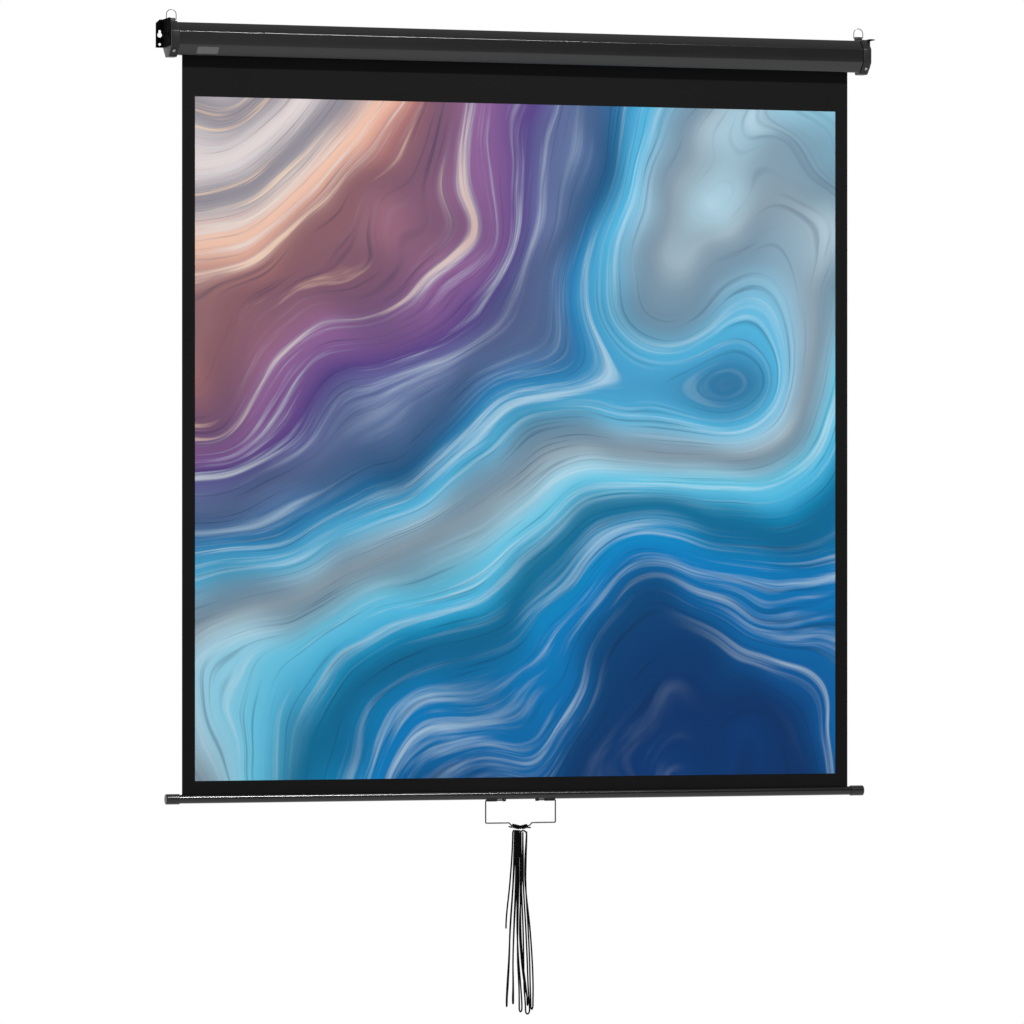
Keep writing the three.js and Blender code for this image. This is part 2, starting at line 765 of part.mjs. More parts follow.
// Plug in the middle of the tube that the far end of the spring drives
const collarFace = headFace + plugSleeve + gap + collarThick;
const plugFace = collarFace + springSpan;
piece(roller, 'spring_plug', turnedX([
  [plugFace, shaftRadius + gap],
  [plugFace, rollerBore - gap],
  [plugFace + plugSleeve, rollerBore - gap],
  [plugFace + plugSleeve, shaftRadius + gap],
  [plugFace, shaftRadius + gap],
], tubeSides), paleNylon);

// Plug and bush at the idler end
const bushRadius = idlerPinRadius + gap + bushWall;
const idlerFace = rollerHalf + gap;
piece(roller, 'idler_plug', turnedX([
  [idlerFace + plugFlange, bushRadius + gap],
  [idlerFace + plugFlange, plugFlangeRadius],
  [idlerFace, plugFlangeRadius],
  [idlerFace, rollerBore - gap],
  [idlerFace - plugSleeve, rollerBore - gap],
  [idlerFace - plugSleeve, bushRadius + gap],
  [idlerFace + plugFlange, bushRadius + gap],
], tubeSides), paleNylon);
piece(roller, 'idler_bush', ringX(
  idlerPinRadius + gap,
  bushRadius,
  idlerFace - plugSleeve,
  idlerFace + plugFlange,
), brightSteel);

// Pawls: flat levers that curve round the hub, drawn lifted clear of it

function pawl(start) {
  const nose = start + pawlSweep;
  const [back, up] = onCircle(pawlPivotRadius, start);
  const arm = [
    ...arc(0, 0, pawlArmOuter, start, nose - pawlNoseBack / 2, curlSteps),
    onCircle(pawlNoseRadius + (pawlArmOuter - pawlNoseRadius) / 2, nose),
    onCircle(pawlNoseRadius, nose),
    ...arc(0, 0, pawlArmInner, nose - pawlNoseBack, start, curlSteps),
  ];
  const eye = circle(back, up, pawlBoss);
  const hole = circle(back, up, pawlPin + gap);
  const flat = (outline) => prismX(outline, pawlOuter, pawlOuter + pawlThick);
  const over = prismX(hole, pawlOuter - overrun, pawlOuter + pawlThick + overrun);
  return cut(join(flat(arm), flat(eye)), over);
}
pawlAngles.forEach((angle, i) => piece(roller, `pawl_${'ab'[i]}`, pawl(angle), greySteel));

// What stays still inside the roller: shaft, ratchet hub, spring and idler pin

const core = new THREE.Group();
core.position.copy(roller.position);
screen.add(core);

const hubOuter = bossEnd + gap;
const collarStart = headFace + plugSleeve + gap;
function springShaft() {
  const blade = prismX(
    rectangle(-bladeThick / 2, -bladeWide / 2, bladeThick / 2, bladeWide / 2),
    -capInner + gap,
    bossEnd + hubThick / 2,
  );
  const round = turnedX([
    [bossEnd, 0],
    [bossEnd, shaftRadius],
    [collarStart, shaftRadius],
    [collarStart, collarRadius],
    [collarFace, collarRadius],
    [collarFace, coreRadius],
    [plugFace - gap, coreRadius],
    [plugFace - gap, shaftRadius],
    [plugFace + tenonLength, shaftRadius],
    [plugFace + tenonLength, 0],
  ]);
  return join(blade, round);
}
piece(core, 'spring_shaft', springShaft(), greySteel);

// Two notches, each a face that stops the nose and a ramp that lets it ride out
function hubOutline() {
  const points = [];
  for (const start of pawlAngles) {
    const face = start + pawlSweep + pawlClear;
    const next = face + Math.PI - notchRamp;
    points.push(onCircle(hubRadius - notchDeep, face));
    points.push(...arc(0, 0, hubRadius, face, next, roundSides / 2));
  }
  return points;
}
const hubBore = circle(0, 0, shaftRadius + gap, roundSides);
piece(core, 'ratchet_hub', cut(
  prismX(hubOutline(), hubOuter, hubOuter + hubThick),
  prismX(hubBore, hubOuter - overrun, hubOuter + hubThick + overrun),
), greySteel);

const springRun = springSpan - 2 * gap - 4 * springWire;
const springLine = helix(springRadius, springRun / springTurns, springTurns, springWire, 0);
console.log(`torsion_spring: least gap to itself ${leastGap(springLine, springWire).gap.toFixed(2)} mm`);
const spring = piece(core, 'torsion_spring', tube(springLine, springWire, curlSides), springSteel);
spring.position.x = collarFace + gap;

const idlerBossEnd = capInner - idlerBossLength;
piece(core, 'idler_pin', turnedX([
  [idlerFace - idlerReach, 0],
  [idlerFace - idlerReach, idlerPinRadius],
  [idlerBossEnd - gap - idlerCollarThick, idlerPinRadius],
  [idlerBossEnd - gap - idlerCollarThick, idlerCollarRadius],
  [idlerBossEnd - gap, idlerCollarRadius],
  [idlerBossEnd - gap, idlerPinRadius],
  [capInner - gap, idlerPinRadius],
  [capInner - gap, 0],
]), greySteel);

// The hanging cloth, from the roller's back to the hem inside the bar

// The hem is thicker than the bar's slot, so the bar hangs from it by the slot's inner edges.
const hemInner = hemRodRadius + gap;
const hemOuter = hemInner + clothThick;
const slotHalf = barSlot / 2;
const slotEdge = Math.sqrt((barRadius - barWall) ** 2 - slotHalf ** 2);
const hemHeight = slotEdge - Math.sqrt((hemOuter + gap) ** 2 - slotHalf ** 2);
const clothFoot = barAxisHeight + hemHeight + hemOuter + gap;
piece(screen, 'screen_fabric', prismX(
  rectangle(-clothDepth - clothThick / 2, clothFoot, -clothDepth + clothThick / 2, -gap),
  -clothWidth / 2,
  clothWidth / 2,
), screenCloth);

// Bottom bar. Its group sits on the bar's axis.

const bar = new THREE.Group();
bar.position.set(0, -clothDepth, barAxisHeight);
screen.add(bar);

function barSection() {
  const outerSlot = Math.asin(slotHalf / barRadius);
  const innerSlot = Math.asin(slotHalf / (barRadius - barWall));
  const up = Math.PI / 2;
  const full = 2 * Math.PI;
  return [
    ...arc(0, 0, barRadius, up + outerSlot, up + full - outerSlot, tubeSides),
    ...arc(0, 0, barRadius - barWall, up + full - innerSlot, up + innerSlot, tubeSides),
  ];
}
const barHalf = capOuter - barCapWall - gap;
piece(bar, 'bar_tube', prismX(barSection(), -barHalf, barHalf), blackSteel);
const hemRod = piece(bar, 'hem_rod', rodX(hemRodRadius, -clothWidth / 2, clothWidth / 2), greySteel);
const hem = piece(bar, 'screen_hem', ringX(hemInner, hemOuter, -clothWidth / 2, clothWidth / 2), blackCloth);
hemRod.position.z = hemHeight;
hem.position.z = hemHeight;

for (const { word, sign } of sides) {
  const mouth = sign * (capOuter - barCapLength);
  const floor = sign * (capOuter - barCapWall);
  const end = sign * capOuter;
  const crownAt = [capOuter - barCapRound, barCapRadius - barCapRound];
  const crown = arc(...crownAt, barCapRound, Math.PI / 2, 0, wireSides / 2);
  piece(bar, `bar_cap_${word}`, turnedX([
    [mouth, barRadius + gap],
    [mouth, barCapRadius],
    ...crown.map(([along, radius]) => [sign * along, radius]),
    [end, 0],
    [floor, 0],
    [floor, barRadius + gap],
    [mouth, barRadius + gap],
  ], tubeSides), blackPlastic);
}

// Clips and keepers: a strap folded round the handle's wire, with flanges on the bar
function clipSection() {
  const seat = barRadius + gap;
  const throat = wireRadius + gap;
  const inner = Math.asin(throat / seat);
  const outer = inner + clipFlange / seat;
  const down = -Math.PI / 2;
  return folded([
    ...arc(0, 0, seat + clipWall, down - outer, down - inner - clipWall / seat, wireSides / 2),
    ...arc(0, -handlePivotFall, throat + clipWall, Math.PI, 2 * Math.PI, wireSides),
    ...arc(0, 0, seat + clipWall, down + inner + clipWall / seat, down + outer, wireSides / 2),
  ].reverse(), clipWall);
}
for (const { word, sign } of sides) {
  const clipOuter = sign * (handleWidth / 2 - handleCorner);
  const clipInner = clipOuter - sign * clipLength;
  piece(bar, `handle_clip_${word}`, prismX(clipSection(), clipOuter, clipInner), greySteel);
  const keeper = sign * keeperPlace;
  piece(bar, `handle_keeper_${word}`, prismX(
    clipSection(),
    keeper - keeperLength / 2,
    keeper + keeperLength / 2,
  ), blackSteel);
}

// Pull handle. Its group sits on the pivot, in the clips.

const handle = new THREE.Group();
handle.position.set(0, 0, -handlePivotFall);
bar.add(handle);

const half = handleWidth / 2;
const handleLine = rounded([
  new THREE.Vector3(-handleEnd, 0, 0),
  new THREE.Vector3(-half, 0, 0),
  new THREE.Vector3(-half, 0, -handleDrop),
  new THREE.Vector3(-notchHalf, 0, -handleDrop),
  new THREE.Vector3(-notchKnee, 0, -handleDrop - kneeFall),
  new THREE.Vector3(0, 0, -handleDrop - notchFall),
  new THREE.Vector3(notchKnee, 0, -handleDrop - kneeFall),
  new THREE.Vector3(notchHalf, 0, -handleDrop),
  new THREE.Vector3(half, 0, -handleDrop),
  new THREE.Vector3(half, 0, 0),
  new THREE.Vector3(handleEnd, 0, 0),
], handleCorner, wireSides / 2);
piece(handle, 'pull_handle', tube(handleLine, wireRadius, wireSides), greySteel);

// Lashings: turns of the cord round each slope of the V, with a cut end that stands off
const lashingPitch = 2 * cordRadius + cordGap;
const lashings = [
  { word: 'left', sign: -1, turns: lashingTurnsLeft, reach: tailReachLeft, drop: tailDropLeft },
  { word: 'right', sign: 1, turns: lashingTurnsRight, reach: tailReachRight, drop: tailDropRight },
];
for (const { word, sign, turns, reach, drop } of lashings) {
  const under = (-sign * Math.PI) / 2;
  const line = helix(lashingRadius, lashingPitch, turns, cordRadius, under, reach, -sign * drop);
  console.log(`cord_lashing_${word}: least gap to itself ${leastGap(line, cordRadius).gap.toFixed(2)} mm`);
  const mesh = piece(handle, `cord_lashing_${word}`, tube(line, cordRadius, cordSides), blackCord);
  mesh.position.set(sign * lashingStart, 0, -cordPivotFall);
  mesh.rotation.y = sign < 0 ? Math.PI + notchAngle : -notchAngle;
}

// The hank: a loose end, then loops that hang before and behind each other, in one unbroken
// tube. Its group sits where it swings under the V.

const hank = new THREE.Group();
hank.position.set(0, 0, -cordPivotFall);
handle.add(hank);

const hankTop = -(lashingRadius + gap + 2 * cordRadius);
const strandSteps = cordLoopSteps / 3;
const bendSteps = cordLoopSteps / 6;

// Where a strand leaves its fold: every second one lies before the middle, the rest behind
function strandHead(k) {
  return new THREE.Vector3(strandRoutes[k][0], k % 2 ? -strandLayer : strandLayer, 0);
}

// The fold that joins strands 2i and 2i + 1, with its heads at their height
function foldHeads(i) {
  const heads = [strandHead(2 * i), strandHead(2 * i + 1)];
  const middle = heads[0].clone().add(heads[1]).divideScalar(2);
  const radius = heads[0].distanceTo(middle);
  const low = crossingStrands.includes(2 * i + 1) ? lowFold : 0;
  const top = hankTop + foldRiseShare * Math.abs(middle.x) - low;
  heads.forEach((head) => head.setZ(top - radius));
  return heads;
}

// A value that passes through given ones at given levels, upright at both ends
function through(levels, values, at) {
  const last = levels.length - 1;
  const slope = (k) => (k > 0 && k < last
    ? (values[k + 1] - values[k - 1]) / (levels[k + 1] - levels[k - 1])
    : 0);
  const next = Math.max(1, levels.findIndex((level) => at <= level));
  const i = next - 1;
  const span = levels[next] - levels[i];
  const share = (at - levels[i]) / span;
  const rest = 1 - share;
  const straight = values[i] * (1 + 2 * share) * rest ** 2 + values[next] * (1 + 2 * rest) * share ** 2;
  return straight + span * share * rest * (slope(i) * rest - slope(next) * share);
}

// Points down a strand, from its head through its places to its foot
function strand(k, head, foot, steps) {
  const route = strandRoutes[k];
  const fall = (height) => (hankTop - height) / hankFall;
  const count = route.length - (foot.end ? 2 : 1);
  const levels = [fall(head.z), ...levelShares.slice(0, count), fall(foot.z)];
  const across = [...route.slice(0, count + 1), foot.x];
  const layer = crossingStrands.includes(k) ? Math.sign(head.y) * crossingLayer : head.y;
  const behind = levels.map((_, i) => (i === 1 ? (head.y + layer) / 2 : layer));
  behind[0] = head.y;
  behind[count + 1] = foot.y;
  const points = [];
  for (let i = 0; i <= steps; i += 1) {
    const height = head.z + ((foot.z - head.z) * i) / steps;
    const at = Math.min(fall(height), levels[count + 1]);
    points.push(new THREE.Vector3(through(levels, across, at), through(levels, behind, at), height));
  }
  return points;
}

// Half a turn from one point to another, bulging up or down
function bend(from, to, upDown) {
  const middle = from.clone().add(to).divideScalar(2);
  const reach = from.clone().sub(middle);
  const points = [];
  for (let i = 1; i < bendSteps; i += 1) {
    const angle = (Math.PI * i) / bendSteps;
    const point = middle.clone().addScaledVector(reach, Math.cos(angle));
    point.z += upDown * reach.length() * Math.sin(angle);
    points.push(point);
  }
  return points;
}

function hankLine() {
  const [looseHead] = foldHeads(0);
  const loose = new THREE.Vector3(strandRoutes[0].at(-1), strandLayer, hankTop - looseEndFall);
  loose.end = true;
  const points = strand(0, looseHead, loose, strandSteps).reverse();
  loopShares.forEach((loop, i) => {
    const turn = THREE.MathUtils.degToRad(loop.turn);
    const reach = new THREE.Vector3(Math.cos(turn), Math.sin(turn), 0).multiplyScalar(loopHalf);
    const lower = hankTop - loop.fall * hankFall + loopHalf;
    const middle = new THREE.Vector3(loop.across * loopHalf, loop.behind * loopHalf, lower);
    const downFoot = middle.clone().sub(reach);
    const upFoot = middle.clone().add(reach);
    const [before, downHead] = foldHeads(i);
    const lastHead = strandHead(2 * i + 2).setZ(hankTop - cordRadius);
    const upHead = i + 1 < loopShares.length ? foldHeads(i + 1)[0] : lastHead;
    points.push(...bend(before, downHead, 1));
    points.push(...strand(2 * i + 1, downHead, downFoot, strandSteps));
    points.push(...bend(downFoot, upFoot, -1));
    points.push(...strand(2 * i + 2, upHead, upFoot, strandSteps).reverse());
  });
  return points;
}
const cordLine = hankLine();
const cord = leastGap(cordLine, cordRadius);
console.log(`pull_cord: ${cord.length.toFixed(0)} mm long, swings at ${cordPivotFall.toFixed(4)} mm`);
console.log(`pull_cord: least gap to itself ${cord.gap.toFixed(2)} mm`);
piece(hank, 'pull_cord', tube(cordLine, cordRadius, cordSides), blackCord);

export default screen;
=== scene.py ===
import json
import math

import bmesh
import bpy
from mathutils import Matrix, Vector


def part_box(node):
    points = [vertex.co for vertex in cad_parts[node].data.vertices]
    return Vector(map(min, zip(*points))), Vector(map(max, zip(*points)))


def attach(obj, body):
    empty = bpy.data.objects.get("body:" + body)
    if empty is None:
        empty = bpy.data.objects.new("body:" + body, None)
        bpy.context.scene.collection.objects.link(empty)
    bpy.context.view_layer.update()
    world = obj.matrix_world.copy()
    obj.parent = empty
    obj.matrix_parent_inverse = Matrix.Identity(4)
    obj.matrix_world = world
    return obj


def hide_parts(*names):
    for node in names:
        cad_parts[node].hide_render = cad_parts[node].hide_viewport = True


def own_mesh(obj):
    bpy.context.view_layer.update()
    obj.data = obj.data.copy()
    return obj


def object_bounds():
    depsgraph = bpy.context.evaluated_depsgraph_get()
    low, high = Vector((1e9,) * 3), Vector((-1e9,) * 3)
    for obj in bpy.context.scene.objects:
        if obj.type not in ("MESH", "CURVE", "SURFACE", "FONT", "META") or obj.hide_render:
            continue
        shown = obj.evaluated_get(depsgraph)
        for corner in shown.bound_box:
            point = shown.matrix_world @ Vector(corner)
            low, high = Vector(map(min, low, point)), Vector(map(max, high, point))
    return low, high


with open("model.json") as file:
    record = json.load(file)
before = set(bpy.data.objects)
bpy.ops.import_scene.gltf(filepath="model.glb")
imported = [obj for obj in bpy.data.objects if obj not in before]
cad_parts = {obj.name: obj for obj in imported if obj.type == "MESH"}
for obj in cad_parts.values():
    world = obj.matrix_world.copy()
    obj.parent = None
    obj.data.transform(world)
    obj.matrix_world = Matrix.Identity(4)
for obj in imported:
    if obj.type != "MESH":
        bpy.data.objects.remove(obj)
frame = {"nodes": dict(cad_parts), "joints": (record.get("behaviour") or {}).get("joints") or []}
cad_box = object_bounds()

# Camera. The screen is seen level, from well to its left and below its housing, through a long
# lens that is shifted up a little, so that the screen's edges stay upright in the picture.
CAMERA_PLACE = (-4.24684, -13.08057, -1.13775)
CAMERA_HEADING = math.radians(17.933)
CAMERA_LENS = 213.19
CAMERA_SHIFT = 0.0382
CAMERA_SENSOR = 36
CAMERA_REACH = 100

camera = bpy.data.objects.new("camera", bpy.data.cameras.new("camera"))
camera.location = CAMERA_PLACE
camera.rotation_euler = (math.pi / 2, 0, -CAMERA_HEADING)
camera.data.sensor_width = CAMERA_SENSOR
camera.data.lens = CAMERA_LENS
camera.data.shift_y = CAMERA_SHIFT
camera.data.clip_end = CAMERA_REACH
bpy.context.scene.collection.objects.link(camera)
bpy.context.scene.camera = camera

# Pull cord. A limp braided cord of black polyester, tied round the V of the pull handle with a few
# turns on each slope. Its whole length hangs there in a hank of six long loops and a loose end.
CORD_RADIUS = 0.0017
CORD_SIDES = 12
CORD_FLUFF = 0.00013
TUBE_SHARP_ANGLE = 50
BRAID_PITCH = 0.0065
BRAID_CARRIERS = 4
BRAID_DEPTH = 0.0003
LASHING_START = 0.0012
LASHING_PITCH = 0.0039
LASHINGS = {
    "left": {"turns": 4, "reach": 0.008, "drop": 0.0003},
    "right": {"turns": 3, "reach": 0.007, "drop": 0.002},
}
HANDLE_DROP = 0.0514
NOTCH_HALF = 0.0275
NOTCH_KNEE = 0.0215
KNEE_FALL = 0.006
NOTCH_FALL = 0.0114
STRAND_LAYER = 0.0068
CROSSING_LAYER = 0.0022
LOW_FOLD = 0.0046
FOLD_RISE = 0.06
LOOP_HALF = 0.0085
HANK_FALL = 0.4146
LOOSE_END_FALL = 0.221
STRAND_STEPS = 64
BEND_STEPS = 14
LASHING_STEPS = 18
LOOP_SHARES = [
    {"across": -3.88, "behind": 0, "fall": 0.957, "turn": 68},
    {"across": -2.11, "behind": 0, "fall": 0.943, "turn": 78},
    {"across": 0, "behind": 0, "fall": 0.988, "turn": 51},
    {"across": 1.79, "behind": -0.5, "fall": 1, "turn": 40},
    {"across": 2.05, "behind": 0.35, "fall": 0.954, "turn": 76},
    {"across": 3.06, "behind": -0.3, "fall": 0.975, "turn": 55},
]
LEVEL_SHARES = [0.15, 0.289, 0.533, 0.7075, 0.847]
STRAND_ROUTES_MM = [
    [-16.4, -18.8, -23.4, -32.5],
    [-14.6, -16.4, -19.7, -26.7, -30.4, -34.3],
    [-12.1, -13.7, -15.8, -22.8, -24.9, -27.9],
    [-10.6, -11.2, -12.1, -17.6, -20.3, -19.4],
    [-7.9, -8.5, -9.7, -13.7, -15.8, -15.8],
    [-6.1, -6.7, -6.7, -9.1, -9.1, -6.1],
    [-3.9, -4.5, -5.1, -6.1, -2.4, 2.5],
    [-1.5, -1.2, -0.6, 3.7, 5.2, 6.1],
    [7.6, 8.5, 8.8, 14.6, 18, 20.1],
    [3.1, 3.1, 1.6, -3, 1.5, 9],
    [0.6, 0.9, 0.3, 1, 5.5, 13],
    [12.2, 10.7, 10.1, 15.8, 19.2, 20.7],
    [16.4, 13.1, 13.4, 24.4, 29.8, 32],
]
CROSSING_STRANDS = (9, 10)


def arithmetic(operation):
    """A method of a wire that joins it with another wire or a number."""
    return lambda wire, other: wire.maths(operation, wire, other)


class Wire:
    """One output of a node. Plain arithmetic on it adds Math nodes to its tree."""

    __add__ = __radd__ = arithmetic("ADD")
    __sub__ = arithmetic("SUBTRACT")
    __mul__ = __rmul__ = arithmetic("MULTIPLY")
    __truediv__ = arithmetic("DIVIDE")
    __pow__ = arithmetic("POWER")
    __gt__ = arithmetic("GREATER_THAN")
    __lt__ = arithmetic("LESS_THAN")
    most = arithmetic("MAXIMUM")

    def __init__(self, nodes, socket):
        self.nodes = nodes
        self.socket = socket

    def maths(self, operation, *values):
        return self.nodes.add("ShaderNodeMath", {"operation": operation}, dict(enumerate(values)))

    def __rsub__(self, other):
        return self.maths("SUBTRACT", other, self)

    def sine(self):
        return self.maths("SINE", self)

    def size(self):
        return self.maths("ABSOLUTE", self)

    def ramp(self, low, high):
        """0 at low, 1 at high and smooth between them."""
        sockets = {"Value": self, "From Min": low, "From Max": high}
        return self.nodes.add("ShaderNodeMapRange", {"interpolation_type": "SMOOTHSTEP"}, sockets)


class Nodes:
    """Adds nodes to a tree, of shaders or of geometry."""

    def __init__(self, tree):
        self.tree = tree
        tree.nodes.clear()

    def add(self, kind, settings=(), sockets=(), out=0):
        """A node of that type: its settings first, then the values or links of its sockets."""
        node = self.tree.nodes.new(kind)
        for name, value in dict(settings).items():
            if name == "stops":
                ramp = node.color_ramp
                while len(ramp.elements) < len(value):
                    ramp.elements.new(1)
                for element, (place, colour) in zip(ramp.elements, value):
                    element.position = place
                    element.color = (*colour, 1)
            else:
                setattr(node, name, value)
        self.fill(node, dict(sockets))
        return Wire(self, node.outputs[out] if len(node.outputs) else None)

    def fill(self, node, sockets):
        for name, value in sockets.items():
            if isinstance(value, Wire):
                self.tree.links.new(value.socket, node.inputs[name])
            else:
                node.inputs[name].default_value = value

    def vector(self, **parts):
        return self.add("ShaderNodeCombineXYZ", {}, parts)


class Finish(Nodes):
    """A material whose surface is one Principled shader."""

    def __init__(self, name, **plain):
        self.material = bpy.data.materials.new(name)
        self.material.use_nodes = True
        super().__init__(self.material.node_tree)
        surface = self.add("ShaderNodeBsdfPrincipled")
        self.shader = surface.socket.node
        self.add("ShaderNodeOutputMaterial", {}, {"Surface": surface})
        self.set(**plain)

    def set(self, **sockets):
        """Fills the shader's sockets, whose names have underscores for spaces here."""
        self.fill(self.shader, {name.replace("_", " "): sockets[name] for name in sockets})

    def place(self):
        return self.add("ShaderNodeTexCoord", out="Object")

    def along(self, vector):
        return [self.add("ShaderNodeSeparateXYZ", {}, {0: vector}, out=k) for k in range(3)]

    def scaled(self, vector, scale, turn=(0, 0, 0)):
        sockets = {"Vector": vector, "Scale": scale, "Rotation": turn}
        return self.add("ShaderNodeMapping", {}, sockets)

    def noise(self, vector, scale, detail=2.0, rough=0.5, bend=0.0):
        sockets = {"Vector": vector, "Scale": scale, "Detail": detail}
        sockets.update({"Roughness": rough, "Distortion": bend})
        return self.add("ShaderNodeTexNoise", {}, sockets)

    def mixed(self, share, first, second):
        sockets = {0: share}
        for name, colour in ((6, first), (7, second)):
            sockets[name] = colour if isinstance(colour, Wire) else (*colour, 1)
        settings = {"data_type": "RGBA", "clamp_factor": True}
        return self.add("ShaderNodeMix", settings, sockets, out=2)

    def shades(self, share, colour, dark, light):
        """A colour that runs from a darker shade of the given one to a lighter shade of it."""
        return self.mixed(share, [dark * c for c in colour], [light * c for c in colour])

    def bump(self, height, depth, strength=1.0):
        sockets = {"Height": height, "Distance": depth, "Strength": strength}
        self.set(Normal=self.add("ShaderNodeBump", {}, sockets))


def new_mesh(name, verts, faces=(), edges=()):
    mesh = bpy.data.meshes.new(name)
    mesh.from_pydata(verts, edges, faces)
    return mesh


def new_piece(name, mesh, *materials):
    for material in materials:
        mesh.materials.append(material)
    piece = bpy.data.objects.new(name, mesh)
    bpy.context.scene.collection.objects.link(piece)
    return piece


def smoothed(mesh, sharp_angle=35):
    """Smooth faces that meet in a hard edge only where they turn by more than that angle."""
    mesh.shade_smooth()
    mesh.set_sharp_from_angle(angle=math.radians(sharp_angle))


def swept_tube(name, route, radius, sides, material):
    """A round bar along a route. Its UV map runs along it in metres and round it from 0 to 1."""
    route = [Vector(point) for point in route]
    last = len(route) - 1
    verts, faces, uvs = [], [], []
    across, run, runs = None, 0.0, []
    for i, point in enumerate(route):
        along = (route[min(i + 1, last)] - route[max(i - 1, 0)]).normalized()
        if across is None:
            across = along.orthogonal().normalized()
        across = (across - along * across.dot(along)).normalized()
        third = along.cross(across)
        run += (point - route[max(i - 1, 0)]).length
        runs.append(run)
        for k in range(sides):
            angle = 2 * math.pi * k / sides
            verts.append(point + radius * (math.cos(angle) * across + math.sin(angle) * third))
    for i in range(last):
        for k in range(sides):
            following = (k + 1) % sides
            a, b = i * sides, (i + 1) * sides
            faces.append((a + k, a + following, b + following, b + k))
            uvs += [(runs[i], k / sides), (runs[i], (k + 1) / sides)]
            uvs += [(runs[i + 1], (k + 1) / sides), (runs[i + 1], k / sides)]
    first_ring, last_ring = range(sides - 1, -1, -1), range(last * sides, (last + 1) * sides)
    for ring, run in ((first_ring, 0.0), (last_ring, runs[-1])):
        faces.append(tuple(ring))
        uvs += [(run, k / sides) for k in range(sides)]
    mesh = new_mesh(name, verts, faces)
    mesh.uv_layers.new(name="along").data.foreach_set("uv", [x for uv in uvs for x in uv])
    smoothed(mesh, TUBE_SHARP_ANGLE)
    return new_piece(name, mesh, material)


def braided(name, colour):
    """A round braid: two sets of carriers that cross as they wind round the cord."""
    finish = Finish(name, Roughness=0.85, Specular_IOR_Level=0.08)
    u, v, _ = finish.along(finish.add("ShaderNodeTexCoord", out="UV"))
    turn = u * (2 * math.pi / BRAID_PITCH)
    around = v * (2 * math.pi * BRAID_CARRIERS)
    over = 0.5 + 0.5 * (turn + around).sine()
    under = 0.5 + 0.5 * (turn - around).sine()
    height = over.most(under)
    fibre = finish.noise(finish.place(), 2200, 2)
    # The colour follows the braid's height. It is darker in the grooves between the strands, which
    # is painted shade, and lighter on their crowns, which is painted highlight. The fibre noise
    # adds random tone.
    finish.set(Base_Color=finish.shades(height * 0.6 + fibre * 0.5, colour, 0.35, 1.5))
    finish.bump(height + fibre * 0.3, BRAID_DEPTH, 0.8)
    return finish.material


cord_black = braided("cord_black", (0.002, 0.002, 0.0022))

handle_low, handle_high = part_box("pull_handle")
WIRE_RADIUS = (handle_high.y - handle_low.y) / 2
WIRE_SEAT = 0.0003
handle_depth = (handle_high.y + handle_low.y) / 2
notch_slope = math.atan2(NOTCH_FALL - KNEE_FALL, NOTCH_KNEE)
handle_pivot = handle_high.z - WIRE_RADIUS
handle_foot = handle_pivot - HANDLE_DROP
notch_tip = handle_foot - NOTCH_FALL
knot = Vector((0, handle_depth, notch_tip + LASHING_START * math.tan(notch_slope)))
lashing_radius = WIRE_RADIUS + WIRE_SEAT + CORD_RADIUS
hank_top = -(lashing_radius + WIRE_SEAT + 2 * CORD_RADIUS)


def fold_heads(i):
    """Where strands 2i and 2i + 1 meet their fold: one before the middle and one behind it."""
    heads = []
    for k in (2 * i, 2 * i + 1):
        layer = -STRAND_LAYER if k % 2 else STRAND_LAYER
        heads.append(Vector((STRAND_ROUTES_MM[k][0] / 1000, layer, 0)))
    middle = (heads[0] + heads[1]) / 2
    low = LOW_FOLD if 2 * i + 1 in CROSSING_STRANDS else 0
    height = hank_top + FOLD_RISE * abs(middle.x) - low - (heads[0] - middle).length
    for head in heads:
        head.z = height
    return heads


def through(levels, values, at):
    """A value that passes through given ones at given levels, upright at both ends."""
    last = len(levels) - 1
    slopes = [0.0] * (last + 1)
    for k in range(1, last):
        slopes[k] = (values[k + 1] - values[k - 1]) / (levels[k + 1] - levels[k - 1])
    i = max(k for k in range(last) if k == 0 or at > levels[k])
    span = levels[i + 1] - levels[i]
    share = (at - levels[i]) / span
    rest = 1 - share
    plain = values[i] * (1 + 2 * share) * rest**2 + values[i + 1] * (1 + 2 * rest) * share**2
    return plain + span * share * rest * (slopes[i] * rest - slopes[i + 1] * share)


def fall_share(height):
    """0 at the hank's top and 1 at the foot of its longest loop."""
    return (hank_top - height) / HANK_FALL


def strand(k, head, foot, places):
    """Points down a strand, through its places across at the given levels."""
    route = [x / 1000 for x in STRAND_ROUTES_MM[k][:places]] + [foot.x]
    levels = [fall_share(head.z), *LEVEL_SHARES[: places - 1], fall_share(foot.z)]
    layer = math.copysign(CROSSING_LAYER, head.y) if k in CROSSING_STRANDS else head.y
    behind = [head.y, (head.y + layer) / 2] + [layer] * (places - 2) + [foot.y]
    points = []
    for i in range(STRAND_STEPS + 1):
        height = head.z + (foot.z - head.z) * i / STRAND_STEPS
        at = min(fall_share(height), levels[-1])
        points.append(Vector((through(levels, route, at), through(levels, behind, at), height)))
    return points


def half_turn(start, end, up_down):
    """Points between two ends of a half circle that bends up (1) or down (-1)."""
    middle = (start + end) / 2
    reach = start - middle
    points = []
    for i in range(1, BEND_STEPS):
        angle = math.pi * i / BEND_STEPS
        rise = Vector((0, 0, up_down * reach.length * math.sin(angle)))
        points.append(middle + reach * math.cos(angle) + rise)
    return points


